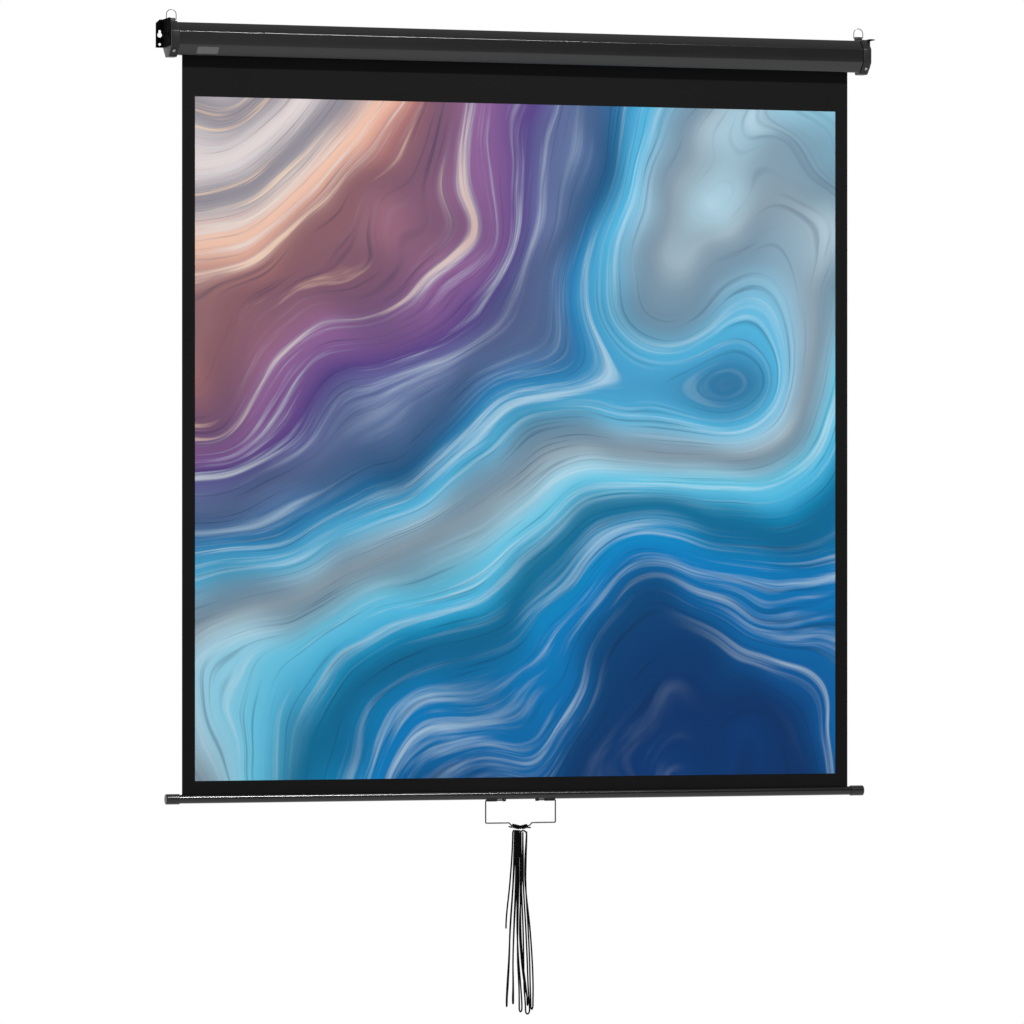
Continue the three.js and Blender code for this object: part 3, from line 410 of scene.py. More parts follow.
strand_places = len(LEVEL_SHARES) + 1
first_route = STRAND_ROUTES_MM[0]
loose_end = Vector((first_route[-1] / 1000, STRAND_LAYER, hank_top - LOOSE_END_FALL))
hank_route = strand(0, fold_heads(0)[0], loose_end, len(first_route) - 1)[::-1]
for i, loop in enumerate(LOOP_SHARES):
    turn = math.radians(loop["turn"])
    reach = LOOP_HALF * Vector((math.cos(turn), math.sin(turn), 0))
    lower = hank_top - loop["fall"] * HANK_FALL + LOOP_HALF
    middle = Vector((loop["across"] * LOOP_HALF, loop["behind"] * LOOP_HALF, lower))
    before, down_head = fold_heads(i)
    if i + 1 < len(LOOP_SHARES):
        up_head = fold_heads(i + 1)[0]
    else:
        up_head = Vector((STRAND_ROUTES_MM[-1][0] / 1000, STRAND_LAYER, hank_top - CORD_RADIUS))
    hank_route += half_turn(before, down_head, 1)
    hank_route += strand(2 * i + 1, down_head, middle - reach, strand_places)
    hank_route += half_turn(middle - reach, middle + reach, -1)
    hank_route += strand(2 * i + 2, up_head, middle + reach, strand_places)[::-1]
hank_route = [knot + point for point in hank_route]
cord_length = sum((b - a).length for a, b in zip(hank_route, hank_route[1:]))
hank = swept_tube("cord_hank", hank_route, CORD_RADIUS + CORD_FLUFF, CORD_SIDES, cord_black)
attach(hank, "cord")
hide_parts("pull_cord")

for word, sign in (("left", -1), ("right", 1)):
    lash = LASHINGS[word]
    turns = lash["turns"] + 2 * CORD_RADIUS / LASHING_PITCH
    steps = round(turns * LASHING_STEPS)
    coil = []
    for i in range(steps + 1):
        angle = 2 * math.pi * turns * (i / steps - 1) - sign * math.pi / 2
        run = LASHING_PITCH * turns * i / steps
        y, z = lashing_radius * math.cos(angle), lashing_radius * math.sin(angle)
        coil.append(Vector((run, y, z)))
    coil.append(coil[-1] + Vector((lash["reach"], 0, -sign * lash["drop"])))
    turned = Matrix.Rotation(math.pi + notch_slope if sign < 0 else -notch_slope, 3, "Y")
    start = knot + Vector((sign * LASHING_START, 0, 0))
    coil = [start + turned @ point for point in coil]
    lashing = swept_tube(f"cord_turns_{word}", coil, CORD_RADIUS, CORD_SIDES, cord_black)
    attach(lashing, "handle")
    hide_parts(f"cord_lashing_{word}")

# Pull handle. One length of grey spring wire, bent into a flat loop with a V in its lower side for
# the cord, and turned inwards at the top, where the clips under the bar hold it.
HANDLE_CORNER = 0.0025
HANDLE_END = 0.035
CORNER_STEPS = 8
WIRE_SIDES = 16
handle_half = (handle_high.x - handle_low.x) / 2 - WIRE_RADIUS


def rounded_route(corners, radius, steps):
    """A polyline in space with its inner corners rounded."""
    corners = [Vector(c) for c in corners]
    route = [corners[0]]
    for before, corner, after in zip(corners, corners[1:], corners[2:]):
        back, ahead = (before - corner).normalized(), (after - corner).normalized()
        half = back.angle(ahead) / 2
        centre = corner + (back + ahead).normalized() * radius / math.sin(half)
        start = corner + back * radius / math.tan(half) - centre
        end = corner + ahead * radius / math.tan(half) - centre
        sweep = math.pi - 2 * half
        for k in range(steps + 1):
            share = k / steps
            arm = start * math.sin((1 - share) * sweep) + end * math.sin(share * sweep)
            route.append(centre + arm / math.sin(sweep))
    route.append(corners[-1])
    return route


def bare_metal(name, colour, rough, grain):
    """Plain metal with fine drawing marks and a little uneven tarnish."""
    finish = Finish(name, Metallic=1.0)
    place = finish.place()
    marks = finish.noise(finish.scaled(place, (60, 900, 900)), 1.0, 4)
    tarnish = finish.noise(place, 90, 3)
    finish.set(Base_Color=finish.shades(tarnish, colour, 0.72, 1), Roughness=marks * 0.16 + rough)
    finish.bump(marks, grain, 0.5)
    return finish.material


wire_grey = bare_metal("wire_grey", (0.11, 0.11, 0.114), rough=0.3, grain=5e-6)
right_half = [
    (NOTCH_KNEE, handle_foot - KNEE_FALL),
    (NOTCH_HALF, handle_foot),
    (handle_half, handle_foot),
    (handle_half, handle_pivot),
    (HANDLE_END, handle_pivot),
]
left_half = [(-x, z) for x, z in reversed(right_half)]
handle_bends = [(x, handle_depth, z) for x, z in (*left_half, (0, notch_tip), *right_half)]
handle_route = rounded_route(handle_bends, HANDLE_CORNER, CORNER_STEPS)
handle = swept_tube("handle_wire", handle_route, WIRE_RADIUS, WIRE_SIDES, wire_grey)
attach(handle, "handle")
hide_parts("pull_handle")

# Clips and keepers. Steel straps folded round the handle's wire, with flanges that follow the bar's
# round underside. The two long ones carry the handle and the two short ones keep its ends in line.
CLIP_WALL = 0.0008
CLIP_FLANGE = 0.005
CLIP_FOLD = 0.0004
FLANGE_STEPS = 8
THROAT_STEPS = 14
FOLD_STEPS = 4
FIT_GAP = 0.0003
QUARTER = math.pi / 2
bar_low, bar_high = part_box("bar_tube")
BAR_RADIUS = (bar_high.y - bar_low.y) / 2
bar_depth = (bar_high.y + bar_low.y) / 2
bar_axis = (bar_depth, bar_low.z + BAR_RADIUS)


def arc_points(centre, radius, start, end, steps):
    """Points in a plane along an arc, with both of its ends."""
    angles = [start + (end - start) * i / steps for i in range(steps + 1)]
    return [(centre[0] + radius * math.cos(a), centre[1] + radius * math.sin(a)) for a in angles]


def polyline(name, points):
    """A bare line of edges in the plane x = 0, for a tree that makes something of it."""
    edges = [(i, i + 1) for i in range(len(points) - 1)]
    return new_piece(name, new_mesh(name, [(0, y, z) for y, z in points], edges=edges))


def new_tree(name, *sizes):
    """A tree of geometry nodes whose inputs are a source, those sizes and a material."""
    tree = bpy.data.node_groups.new(name, "GeometryNodeTree")
    nodes = Nodes(tree)
    kinds = {"Geometry": "Geometry", **dict.fromkeys(sizes, "Float"), "Material": "Material"}
    for socket, kind in kinds.items():
        tree.interface.new_socket(socket, in_out="INPUT", socket_type="NodeSocket" + kind)
    tree.interface.new_socket("Geometry", in_out="OUTPUT", socket_type="NodeSocketGeometry")
    entry = nodes.add("NodeGroupInput").socket.node
    given = {socket.name: Wire(nodes, socket) for socket in entry.outputs if socket.name}
    return tree, nodes, given


def drawn_along_x(nodes, edges, place, length):
    """A line of edges, moved to its place and drawn out along X."""
    placed = nodes.add("GeometryNodeTransform", {}, {"Geometry": edges, "Translation": place})
    sockets = {"Mesh": placed, "Offset": nodes.vector(X=length), "Offset Scale": 1.0}
    return nodes.add("GeometryNodeExtrudeMesh", {"mode": "EDGES"}, sockets)


def finish_tree(nodes, shape, material):
    real = nodes.add("GeometryNodeRealizeInstances", {}, {0: shape})
    coated = nodes.add("GeometryNodeSetMaterial", {}, {"Geometry": real, "Material": material})
    nodes.add("NodeGroupOutput", {}, {0: coated})


def grown(name, source, tree, values, solid=None):
    """The plain mesh that a tree makes of a source object, with a wall if one is asked for."""
    modifier = source.modifiers.new("grow", "NODES")
    modifier.node_group = tree
    for item in tree.interface.items_tree:
        if item.in_out == "INPUT" and item.name in values:
            modifier[item.identifier] = values[item.name]
    if solid is not None:
        wall = source.modifiers.new("wall", "SOLIDIFY")
        wall.thickness = solid
        wall.offset = 0
        wall.use_even_offset = True
    evaluated = source.evaluated_get(bpy.context.evaluated_depsgraph_get())
    mesh = bpy.data.meshes.new_from_object(evaluated)
    mesh.name = name
    for other in list(source.modifiers):
        source.modifiers.remove(other)
    bpy.data.objects.remove(source)
    smoothed(mesh)
    return new_piece(name, mesh)


def folded_strip_tree():
    """A strip that is as long as the piece, folded along a line that it gets fold radii on."""
    tree, nodes, given = new_tree("folded_strip", "Start", "Length", "Fold Radius")
    line = nodes.add("GeometryNodeMeshToCurve", {}, {"Mesh": given["Geometry"]})
    fillet = {"Curve": line, "Count": FOLD_STEPS, "Radius": given["Fold Radius"]}
    fillet["Limit Radius"] = True
    rounded = nodes.add("GeometryNodeFilletCurve", {"mode": "POLY"}, fillet)
    edges = nodes.add("GeometryNodeCurveToMesh", {}, {"Curve": rounded})
    strip = drawn_along_x(nodes, edges, nodes.vector(X=given["Start"]), given["Length"])
    finish_tree(nodes, strip, given["Material"])
    return tree


folded_strip = folded_strip_tree()
clip_steel = bare_metal("clip_steel", (0.03, 0.03, 0.031), rough=0.34, grain=1e-5)


def clip_line():
    """The middle of a strap: a flange, the turn under the handle's wire and the other flange."""
    seat = BAR_RADIUS + FIT_GAP + CLIP_WALL / 2
    throat = WIRE_RADIUS + FIT_GAP + CLIP_WALL / 2
    inner = math.asin(throat / seat)
    outer = inner + CLIP_FLANGE / seat
    left = arc_points(bar_axis, seat, -QUARTER - outer, -QUARTER - inner, FLANGE_STEPS)
    wire_axis = (bar_depth, handle_pivot)
    round_wire = arc_points(wire_axis, throat, math.pi, 2 * math.pi, THROAT_STEPS)
    right = arc_points(bar_axis, seat, -QUARTER + inner, -QUARTER + outer, FLANGE_STEPS)
    return left + round_wire + right


for node in ("handle_clip_left", "handle_clip_right", "handle_keeper_left", "handle_keeper_right"):
    low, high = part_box(node)
    line = polyline(node + "_line", clip_line())
    values = {"Start": low.x, "Length": high.x - low.x}
    values.update({"Fold Radius": CLIP_FOLD, "Material": clip_steel})
    strap = grown(node.replace("handle_", "strap_"), line, folded_strip, values, CLIP_WALL)
    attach(strap, "bottom_bar")
    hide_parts(node)

# Bottom bar. A steel tube with gloss black paint and a slot along its top, through which the
# cloth's hem is threaded on a rod. Moulded black caps close its ends.
BAR_WALL = 0.0013
BAR_SLOT = 0.0026
BAR_STEPS = 72
CAP_ROUND = 0.002
CAP_LIP = 0.0004
CAP_FLOOR = 0.0032
CAP_DISH = 0.45
CAP_STEPS = 8
CAP_SIDES = 64
JOINED = 1e-6


def painted(name, colour, rough, grain, level):
    """Black paint: fine orange peel, faint dust and a grain that breaks up the gloss."""
    finish = Finish(name, Specular_IOR_Level=level)
    place = finish.place()
    peel = finish.noise(place, 420, 2)
    cloud = finish.noise(place, 7, 3)
    speck = finish.noise(place, 2600, 1)
    finish.set(
        Base_Color=finish.shades(cloud * 0.5 + speck * 0.3, colour, 0.7, 1.5),
        Roughness=cloud * 0.05 + speck * 0.03 + rough,
    )
    finish.bump(peel + speck * 0.4, grain, 0.6)
    return finish.material


def solid_piece(name, verts, faces, material):
    """A closed solid whose faces look outwards, smooth but for its hard edges."""
    mesh = new_mesh(name, verts, faces)
    body = bmesh.new()
    body.from_mesh(mesh)
    bmesh.ops.remove_doubles(body, verts=body.verts, dist=JOINED)
    bmesh.ops.recalc_face_normals(body, faces=body.faces)
    bmesh.ops.triangulate(body, faces=[f for f in body.faces if len(f.verts) > 4])
    body.to_mesh(mesh)
    body.free()
    smoothed(mesh)
    return new_piece(name, mesh, material)


def extruded(name, outline, start, end, material):
    """A closed outline in Y and Z drawn along X, with smooth sides and flat ends."""
    count = len(outline)
    verts = [(start, y, z) for y, z in outline] + [(end, y, z) for y, z in outline]
    faces = [(i, (i + 1) % count, count + (i + 1) % count, count + i) for i in range(count)]
    faces += [tuple(range(count - 1, -1, -1)), tuple(range(count, 2 * count))]
    return solid_piece(name, verts, faces, material)


bar_paint = painted("bar_paint", (0.0022, 0.0022, 0.0023), rough=0.14, grain=3e-7, level=0.54)
outer_slot = math.asin(BAR_SLOT / 2 / BAR_RADIUS)
bar_bore = BAR_RADIUS - BAR_WALL
inner_slot = math.asin(BAR_SLOT / 2 / bar_bore)
whole = QUARTER + 2 * math.pi
bar_outline = arc_points(
    bar_axis, BAR_RADIUS, QUARTER + outer_slot, whole - outer_slot, BAR_STEPS
) + arc_points(bar_axis, bar_bore, whole - inner_slot, QUARTER + inner_slot, BAR_STEPS)
bar = extruded("bar_with_slot", bar_outline, bar_low.x, bar_high.x, bar_paint)
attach(bar, "bottom_bar")
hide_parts("bar_tube")


def lathed(name, profile, centre, sides, material):
    """A ring of places along X and radii, turned about a line through the centre."""
    profile = [*profile, profile[0]]
    verts, faces = [], []
    for k in range(sides):
        angle = 2 * math.pi * k / sides
        y, z = math.cos(angle), math.sin(angle)
        verts += [(x, centre[0] + radius * y, centre[1] + radius * z) for x, radius in profile]
    count = len(profile)
    for k in range(sides):
        for i in range(count - 1):
            a, b = k * count + i, ((k + 1) % sides) * count + i
            faces.append((a, a + 1, b + 1, b))
    return solid_piece(name, verts, faces, material)


def moulded(name, colour, rough, grain, level):
    """Moulded black plastic with a fine spark-eroded grain and faint flow marks."""
    finish = Finish(name, Specular_IOR_Level=level)
    place = finish.place()
    fine = finish.noise(place, 3200, 1)
    flow = finish.noise(finish.scaled(place, (1, 2, 2)), 22, 3)
    finish.set(
        Base_Color=finish.shades(flow * 0.6 + fine * 0.4, colour, 0.75, 1.4),
        Roughness=fine * 0.12 + flow * 0.06 + rough,
    )
    finish.bump(fine, grain, 0.7)
    return finish.material


cap_gloss = moulded("bar_cap_plastic", (0.004, 0.004, 0.0043), rough=0.2, grain=5e-6, level=0.5)
for word, sign in (("left", -1), ("right", 1)):
    low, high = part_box(f"bar_cap_{word}")
    radius = (high.z - low.z) / 2
    end, mouth = (low.x, high.x) if sign < 0 else (high.x, low.x)
    floor = end - sign * CAP_FLOOR
    centre = (end - sign * CAP_ROUND, radius - CAP_ROUND)
    crown = arc_points(centre, CAP_ROUND, QUARTER, QUARTER - sign * QUARTER, CAP_STEPS)
    bore = BAR_RADIUS + FIT_GAP
    profile = [(mouth, bore), (mouth, radius - CAP_LIP), (mouth + sign * CAP_LIP, radius), *crown]
    profile += [(end, radius * CAP_DISH), (end, 0), (floor, 0), (floor, bore)]
    cap = lathed(f"bar_end_{word}", profile, bar_axis, CAP_SIDES, cap_gloss)
    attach(cap, "bottom_bar")
    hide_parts(f"bar_cap_{word}")

# Screen cloth. Coated glass-fibre cloth, black behind, with a matt front whose black border frames
# the picture area. It leaves the back of the roller and is cut square, 1584 mm wide.
PICTURE_SIDE = 1.524
BORDER_FOOT = 0.030
WEAVE_PITCH = 0.0011
CLOTH_COLUMNS, CLOTH_ROWS = 24, 40
FLOW_ACROSS, FLOW_UP, FLOW_START = 0.5, 0.62, 0.06
SWELL_DEPTH, DRIFT_DEPTH = 1.15, 0.22
PLEATS, PLEAT_DRIFT = 31, 9
STRANDS, STRAND_WAVES = 46, 2.2
HAIRS, HAIR_WAVES = 170, 5
cloth_low, cloth_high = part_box("screen_fabric")
CLOTH_THICK = cloth_high.y - cloth_low.y
cloth_depth = (cloth_low.y + cloth_high.y) / 2
picture_foot = bar_high.z + BORDER_FOOT


def cloth_weave(finish, place):
    """Threads that pass over and under each other, as a height from 0 to 1."""
    x, _, z = finish.along(place)
    turn = 2 * math.pi / WEAVE_PITCH
    return 0.5 + 0.5 * ((turn * x).sine() * (turn * z).sine())


def screen_face():
    """The front: black border, and a generic design of flowing bands in the picture area."""
    finish = Finish("screen_face", Roughness=0.55, Specular_IOR_Level=0.11)
    place = finish.place()
    x, _, z = finish.along(place)
    u = x / PICTURE_SIDE + 0.5
    v = (z - picture_foot) / PICTURE_SIDE
    sheet = finish.vector(X=u, Y=v)
    swell = finish.noise(sheet, 1.3, 1, 0.4, 0.3)
    drift = finish.noise(finish.scaled(sheet, (1, 1, 1), (0, 0, 0.5)), 2.6, 2, 0.45)
    bent = (swell - 0.5) * SWELL_DEPTH + (drift - 0.5) * DRIFT_DEPTH
    flow = (1 - u) * FLOW_ACROSS + v * FLOW_UP + bent - FLOW_START
    along = 0.8 * u + 0.6 * v
    stops = [
        (0.00, (0.001, 0.05, 0.22)),
        (0.14, (0.001, 0.20, 0.50)),
        (0.24, (0.004, 0.36, 0.66)),
        (0.33, (0.14, 0.54, 0.74)),
        (0.41, (0.58, 0.76, 0.84)),
        (0.49, (0.08, 0.42, 0.66)),
        (0.56, (0.02, 0.19, 0.42)),
        (0.63, (0.20, 0.28, 0.52)),
        (0.70, (0.09, 0.05, 0.22)),
        (0.77, (0.30, 0.13, 0.30)),
        (0.85, (0.62, 0.24, 0.20)),
        (0.92, (0.80, 0.50, 0.38)),
        (1.00, (0.70, 0.62, 0.62)),
    ]
    bands = finish.add("ShaderNodeValToRGB", {"stops": stops}, {0: flow})
    pleat = 0.5 + 0.5 * (PLEATS * flow + PLEAT_DRIFT * drift).sine()
    ridges = finish.vector(X=flow * STRANDS, Y=along * STRAND_WAVES)
    strands = finish.noise(ridges, 1.0, 4, 0.6)
    hairs = finish.noise(finish.vector(X=flow * HAIRS, Y=along * HAIR_WAVES), 1.0, 2, 0.5)
    shaded = finish.mixed((1 - pleat) * 0.62, bands, (0.001, 0.02, 0.08))
    lit = finish.mixed(strands.ramp(0.48, 0.7) * pleat * 0.6, shaded, (0.62, 0.78, 0.86))
    warm = strands.ramp(0.56, 0.7) * flow.ramp(0.62, 0.86) * 0.6
    glow = finish.mixed(warm, lit, (0.95, 0.66, 0.45))
    textured = finish.mixed(hairs.ramp(0.55, 0.75) * 0.4, glow, (0.002, 0.02, 0.07))
    inside = ((u - 0.5).size() < 0.5) * ((v - 0.5).size() < 0.5)
    weave = cloth_weave(finish, place)
    dust = finish.noise(place, 5, 4)
    border = finish.mixed(dust, (0.0018, 0.0018, 0.0019), (0.004, 0.004, 0.0042))
    finish.set(Base_Color=finish.mixed(inside, border, textured))
    finish.bump(weave, 0.00006, 0.5)
    return finish.material


def black_backing():
    """The back: plain black, with the weave showing faintly in its bump and as painted shade in its
    colour.
    """
    finish = Finish("cloth_back", Roughness=0.7, Specular_IOR_Level=0.3)
    place = finish.place()
    weave = cloth_weave(finish, place)
    # Random tone, with the weave's rising threads lighter and the hollows between them darker:
    # painted shade.
    pale = finish.noise(place, 6, 4) * 0.7 + weave * 0.3
    finish.set(Base_Color=finish.mixed(pale, (0.008, 0.008, 0.0085), (0.018, 0.018, 0.019)))
    finish.bump(weave, 0.00008, 0.6)
    return finish.material


cloth_face, cloth_back = screen_face(), black_backing()
cloth_wide, cloth_tall = cloth_high.x - cloth_low.x, cloth_high.z - cloth_low.z
columns = [cloth_low.x + cloth_wide * i / CLOTH_COLUMNS for i in range(CLOTH_COLUMNS + 1)]
rows = [cloth_low.z + cloth_tall * k / CLOTH_ROWS for k in range(CLOTH_ROWS + 1)]
verts = [(x, cloth_depth, z) for z in rows for x in columns]
row = CLOTH_COLUMNS + 1
corners = [k * row + i for k in range(CLOTH_ROWS) for i in range(CLOTH_COLUMNS)]
faces = [(corner, corner + 1, corner + row + 1, corner + row) for corner in corners]
mesh = new_mesh("screen_cloth", verts, faces)
cloth = new_piece("screen_cloth", mesh, cloth_face, cloth_back)
wall = cloth.modifiers.new("wall", "SOLIDIFY")
wall.thickness = CLOTH_THICK
wall.offset = 0
wall.material_offset = 1
wall.material_offset_rim = 1
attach(cloth, "case")
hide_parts("screen_fabric")
travel = next(j for j in frame["joints"] if j["name"] == "screen_travel")["range_m"][1]
rolled_up = 1 - travel / -cloth_low.z
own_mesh(cloth)

# Hem. The cloth's lower edge is turned round a rod and welded into a sleeve. It is too thick to
# leave the bar through the slot along its top.
HEM_SIDES = 32
hem_low, hem_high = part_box("screen_hem")
hem_outer = (hem_high.z - hem_low.z) / 2
hem_centre = ((hem_low.y + hem_high.y) / 2, (hem_low.z + hem_high.z) / 2)
hem_inner = hem_outer - CLOTH_THICK
hem_profile = [(hem_low.x, hem_inner), (hem_low.x, hem_outer)]
hem_profile += [(hem_high.x, hem_outer), (hem_high.x, hem_inner)]
hem = lathed("cloth_hem", hem_profile, hem_centre, HEM_SIDES, cloth_back)
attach(hem, "bottom_bar")
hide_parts("screen_hem")

# Cloth left on the roller. The screen is pulled down to a stop that leaves one and a third turns
# of plain black cloth wound on, which hold it to the tube.
WRAP_TURNS = 1.33
WRAP_GAP = 0.00033
WRAP_STEPS = 64
SEED_LENGTH = 0.001
tube_low, tube_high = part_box("roller_tube")
tube_radius = (tube_high.z - tube_low.z) / 2
roller_depth = (tube_low.y + tube_high.y) / 2
wrap_inner = tube_radius + FIT_GAP + CLOTH_THICK / 2
wrap_outer = wrap_inner + WRAP_TURNS * (CLOTH_THICK + WRAP_GAP)


def wound_cloth_tree():
    """A flat spiral turned to face along X and drawn out to the cloth's width."""
    sizes = ("Turns", "Inner Radius", "Outer Radius", "Depth", "Start", "Width")
    tree, nodes, given = new_tree("wound_cloth", *sizes)
    coil = {"Resolution": WRAP_STEPS, "Rotations": given["Turns"], "Height": 0.0}
    coil.update({"Start Radius": given["Outer Radius"], "End Radius": given["Inner Radius"]})
    spiral = nodes.add("GeometryNodeCurveSpiral", {}, coil)
    edges = nodes.add("GeometryNodeCurveToMesh", {}, {"Curve": spiral})
    sockets = {"Geometry": edges, "Rotation": (QUARTER, 0, QUARTER)}
    facing = nodes.add("GeometryNodeTransform", {}, sockets)
    place = nodes.vector(X=given["Start"], Y=given["Depth"])
    finish_tree(nodes, drawn_along_x(nodes, facing, place, given["Width"]), given["Material"])
    return tree


wound = grown(
    "wound_cloth",
    polyline("wound_cloth_seed", [(0, 0), (0, SEED_LENGTH)]),
    wound_cloth_tree(),
    {
        "Turns": WRAP_TURNS,
        "Inner Radius": wrap_inner,
        "Outer Radius": wrap_outer,
        "Depth": roller_depth,
        "Start": cloth_low.x,
        "Width": cloth_wide,
        "Material": cloth_back,
    },
    CLOTH_THICK,
)
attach(wound, "roller")
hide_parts("fabric_wrap")

# Housing. One strip of sheet steel, rolled into an eight-sided section with satin black paint.
# It is open below, where both edges of the slot for the cloth are folded in.
CASE_WALL = 0.0012
CASE_FOLD = 0.0028
CASE_LIP = 0.005
SLOT_AHEAD = 0.012
SLOT_BEHIND = 0.012
EIGHTH = math.pi / 8
case_low, case_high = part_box("case_shell")
case_half = (case_high.z - case_low.z) / 2
case_flat = case_half * math.tan(EIGHTH)
case_paint = painted("case_paint", (0.004, 0.004, 0.0042), rough=0.14, grain=6e-7, level=0.56)


def case_line():
    """The middle of the strip, from lip to lip round the corners of an octagon."""
    reach = (case_half - CASE_WALL / 2) / math.cos(EIGHTH)
    corners = arc_points((-case_half, 0), reach, EIGHTH, 15 * EIGHTH, 7)
    back_top, top_rear, top_front, front_top, front_low, low_front = corners[:6]
    wall = CASE_WALL / 2
    slot_front = cloth_depth - SLOT_AHEAD - wall
    slot_rear = cloth_depth + SLOT_BEHIND + wall
    rear_height = slot_rear - case_flat
    back_low = (-wall, -case_flat + math.tan(EIGHTH) * wall)
    return [
        (slot_front, -case_half + CASE_LIP),
        (slot_front, -case_half + wall),
        low_front,
        front_low,
        front_top,
        top_front,
        top_rear,
        back_top,
        back_low,
        (slot_rear, rear_height + wall * math.sqrt(2)),
        (slot_rear, rear_height + CASE_LIP),
    ]


housing = grown(
    "housing",
    polyline("housing_line", case_line()),
    folded_strip,
    {
        "Start": case_low.x,
        "Length": case_high.x - case_low.x,
        "Fold Radius": CASE_FOLD - CASE_WALL / 2,
        "Material": case_paint,
    },
    CASE_WALL,
)
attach(housing, "case")
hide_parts("case_shell")

# End caps. Moulded in black plastic, pushed over the housing's ends and held by two screws each.
# A lug on top carries the hanging ring, and bosses inside carry the roller's shaft and pin.
CAP_EDGE = 0.0009
EASED_ANGLE = 32
cap_plastic = moulded("cap_plastic", (0.009, 0.009, 0.0093), rough=0.3, grain=3e-6, level=0.32)


def eased_copy(node, name, width, material):
    """A copy of a CAD part with its edges eased, as moulding and pressing leave them."""
    mesh = frame["nodes"][node].data.copy()
    mesh.name = name
    mesh.materials.clear()
    body = bmesh.new()
    body.from_mesh(mesh)
    bmesh.ops.remove_doubles(body, verts=body.verts, dist=JOINED)
    flat = math.radians(1)
    bmesh.ops.dissolve_limit(body, angle_limit=flat, verts=body.verts, edges=body.edges)
    inner = [edge for edge in body.edges if len(edge.link_faces) == 2]
    sharp = [edge for edge in inner if edge.calc_face_angle() > math.radians(EASED_ANGLE)]
    rounding = {"offset": width, "segments": 3, "profile": 0.5, "clamp_overlap": True}
    bmesh.ops.bevel(body, geom=sharp, affect="EDGES", **rounding)
    bmesh.ops.remove_doubles(body, verts=body.verts, dist=JOINED)
    body.to_mesh(mesh)
    body.free()
    smoothed(mesh, EASED_ANGLE)
    return new_piece(name, mesh, material)


for word in ("left", "right"):
    cap = eased_copy(f"end_cap_{word}", f"housing_end_{word}", CAP_EDGE, cap_plastic)
    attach(cap, "case")
    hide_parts(f"end_cap_{word}")

# Brackets. Pressed from 1.6 mm steel and powder coated black, each with a keyhole and a hole in
# its ear and in its wing. The left ear lies against a wall and the right one under a ceiling.
BRACKET_EDGE = 0.0002
powder_black = painted(
    "powder_black", (0.0025, 0.0025, 0.0026), rough=0.82, grain=3e-5, level=0.05
)
for word in ("left", "right"):
    bracket = eased_copy(f"bracket_{word}", f"wall_bracket_{word}", BRACKET_EDGE, powder_black)
    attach(bracket, "case")
    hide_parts(f"bracket_{word}")

# Hanging rings. One piece of bright wire for each end, bent to an arch. Its two ends are turned in
# and swing in the lug on top of the end cap.
RING_FOOT = 0.0022
RING_FOOT_STEPS = 6
RING_ARCH_STEPS = 28
RING_SIDES = 14
bright_wire = bare_metal("bright_wire", (0.32, 0.32, 0.33), rough=0.22, grain=1e-5)
for word in ("left", "right"):
    low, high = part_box(f"hanging_ring_{word}")
    radius = (high.y - low.y) / 2
    centre = (low.x + high.x) / 2
    depth = (low.y + high.y) / 2
    half = (high.x - low.x) / 2 - radius
    pivot, top = low.z + radius, high.z - radius
    reach = half - RING_FOOT
    arch = [(-FIT_GAP, 0)]
    arch += arc_points((-reach, RING_FOOT), RING_FOOT, -QUARTER, -math.pi, RING_FOOT_STEPS)
    arch += arc_points((0, top - pivot - half), half, math.pi, 0, RING_ARCH_STEPS)
    arch += arc_points((reach, RING_FOOT), RING_FOOT, 0, -QUARTER, RING_FOOT_STEPS)
    arch.append((FIT_GAP, 0))
    route = [(centre + x, depth, pivot + z) for x, z in arch]
    ring = swept_tube(f"wire_ring_{word}", route, radius, RING_SIDES, bright_wire)
    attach(ring, f"ring_{word}")
    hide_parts(f"hanging_ring_{word}")

# Screws. Pan heads with a cross recess: two zinc-plated ones hold each end cap to the housing, and
# a black one holds each bracket to its cap.
SCREW_HEAD = 0.0036
SCREW_HEAD_TALL = 0.002
SCREW_SHANK = 0.0019
SCREW_RINGS = 14
SHANK_RINGS = 2
SCREW_SIDES = 24
RECESS_LONG, RECESS_WIDE = 1.2, 0.26
LEAST = 0.02


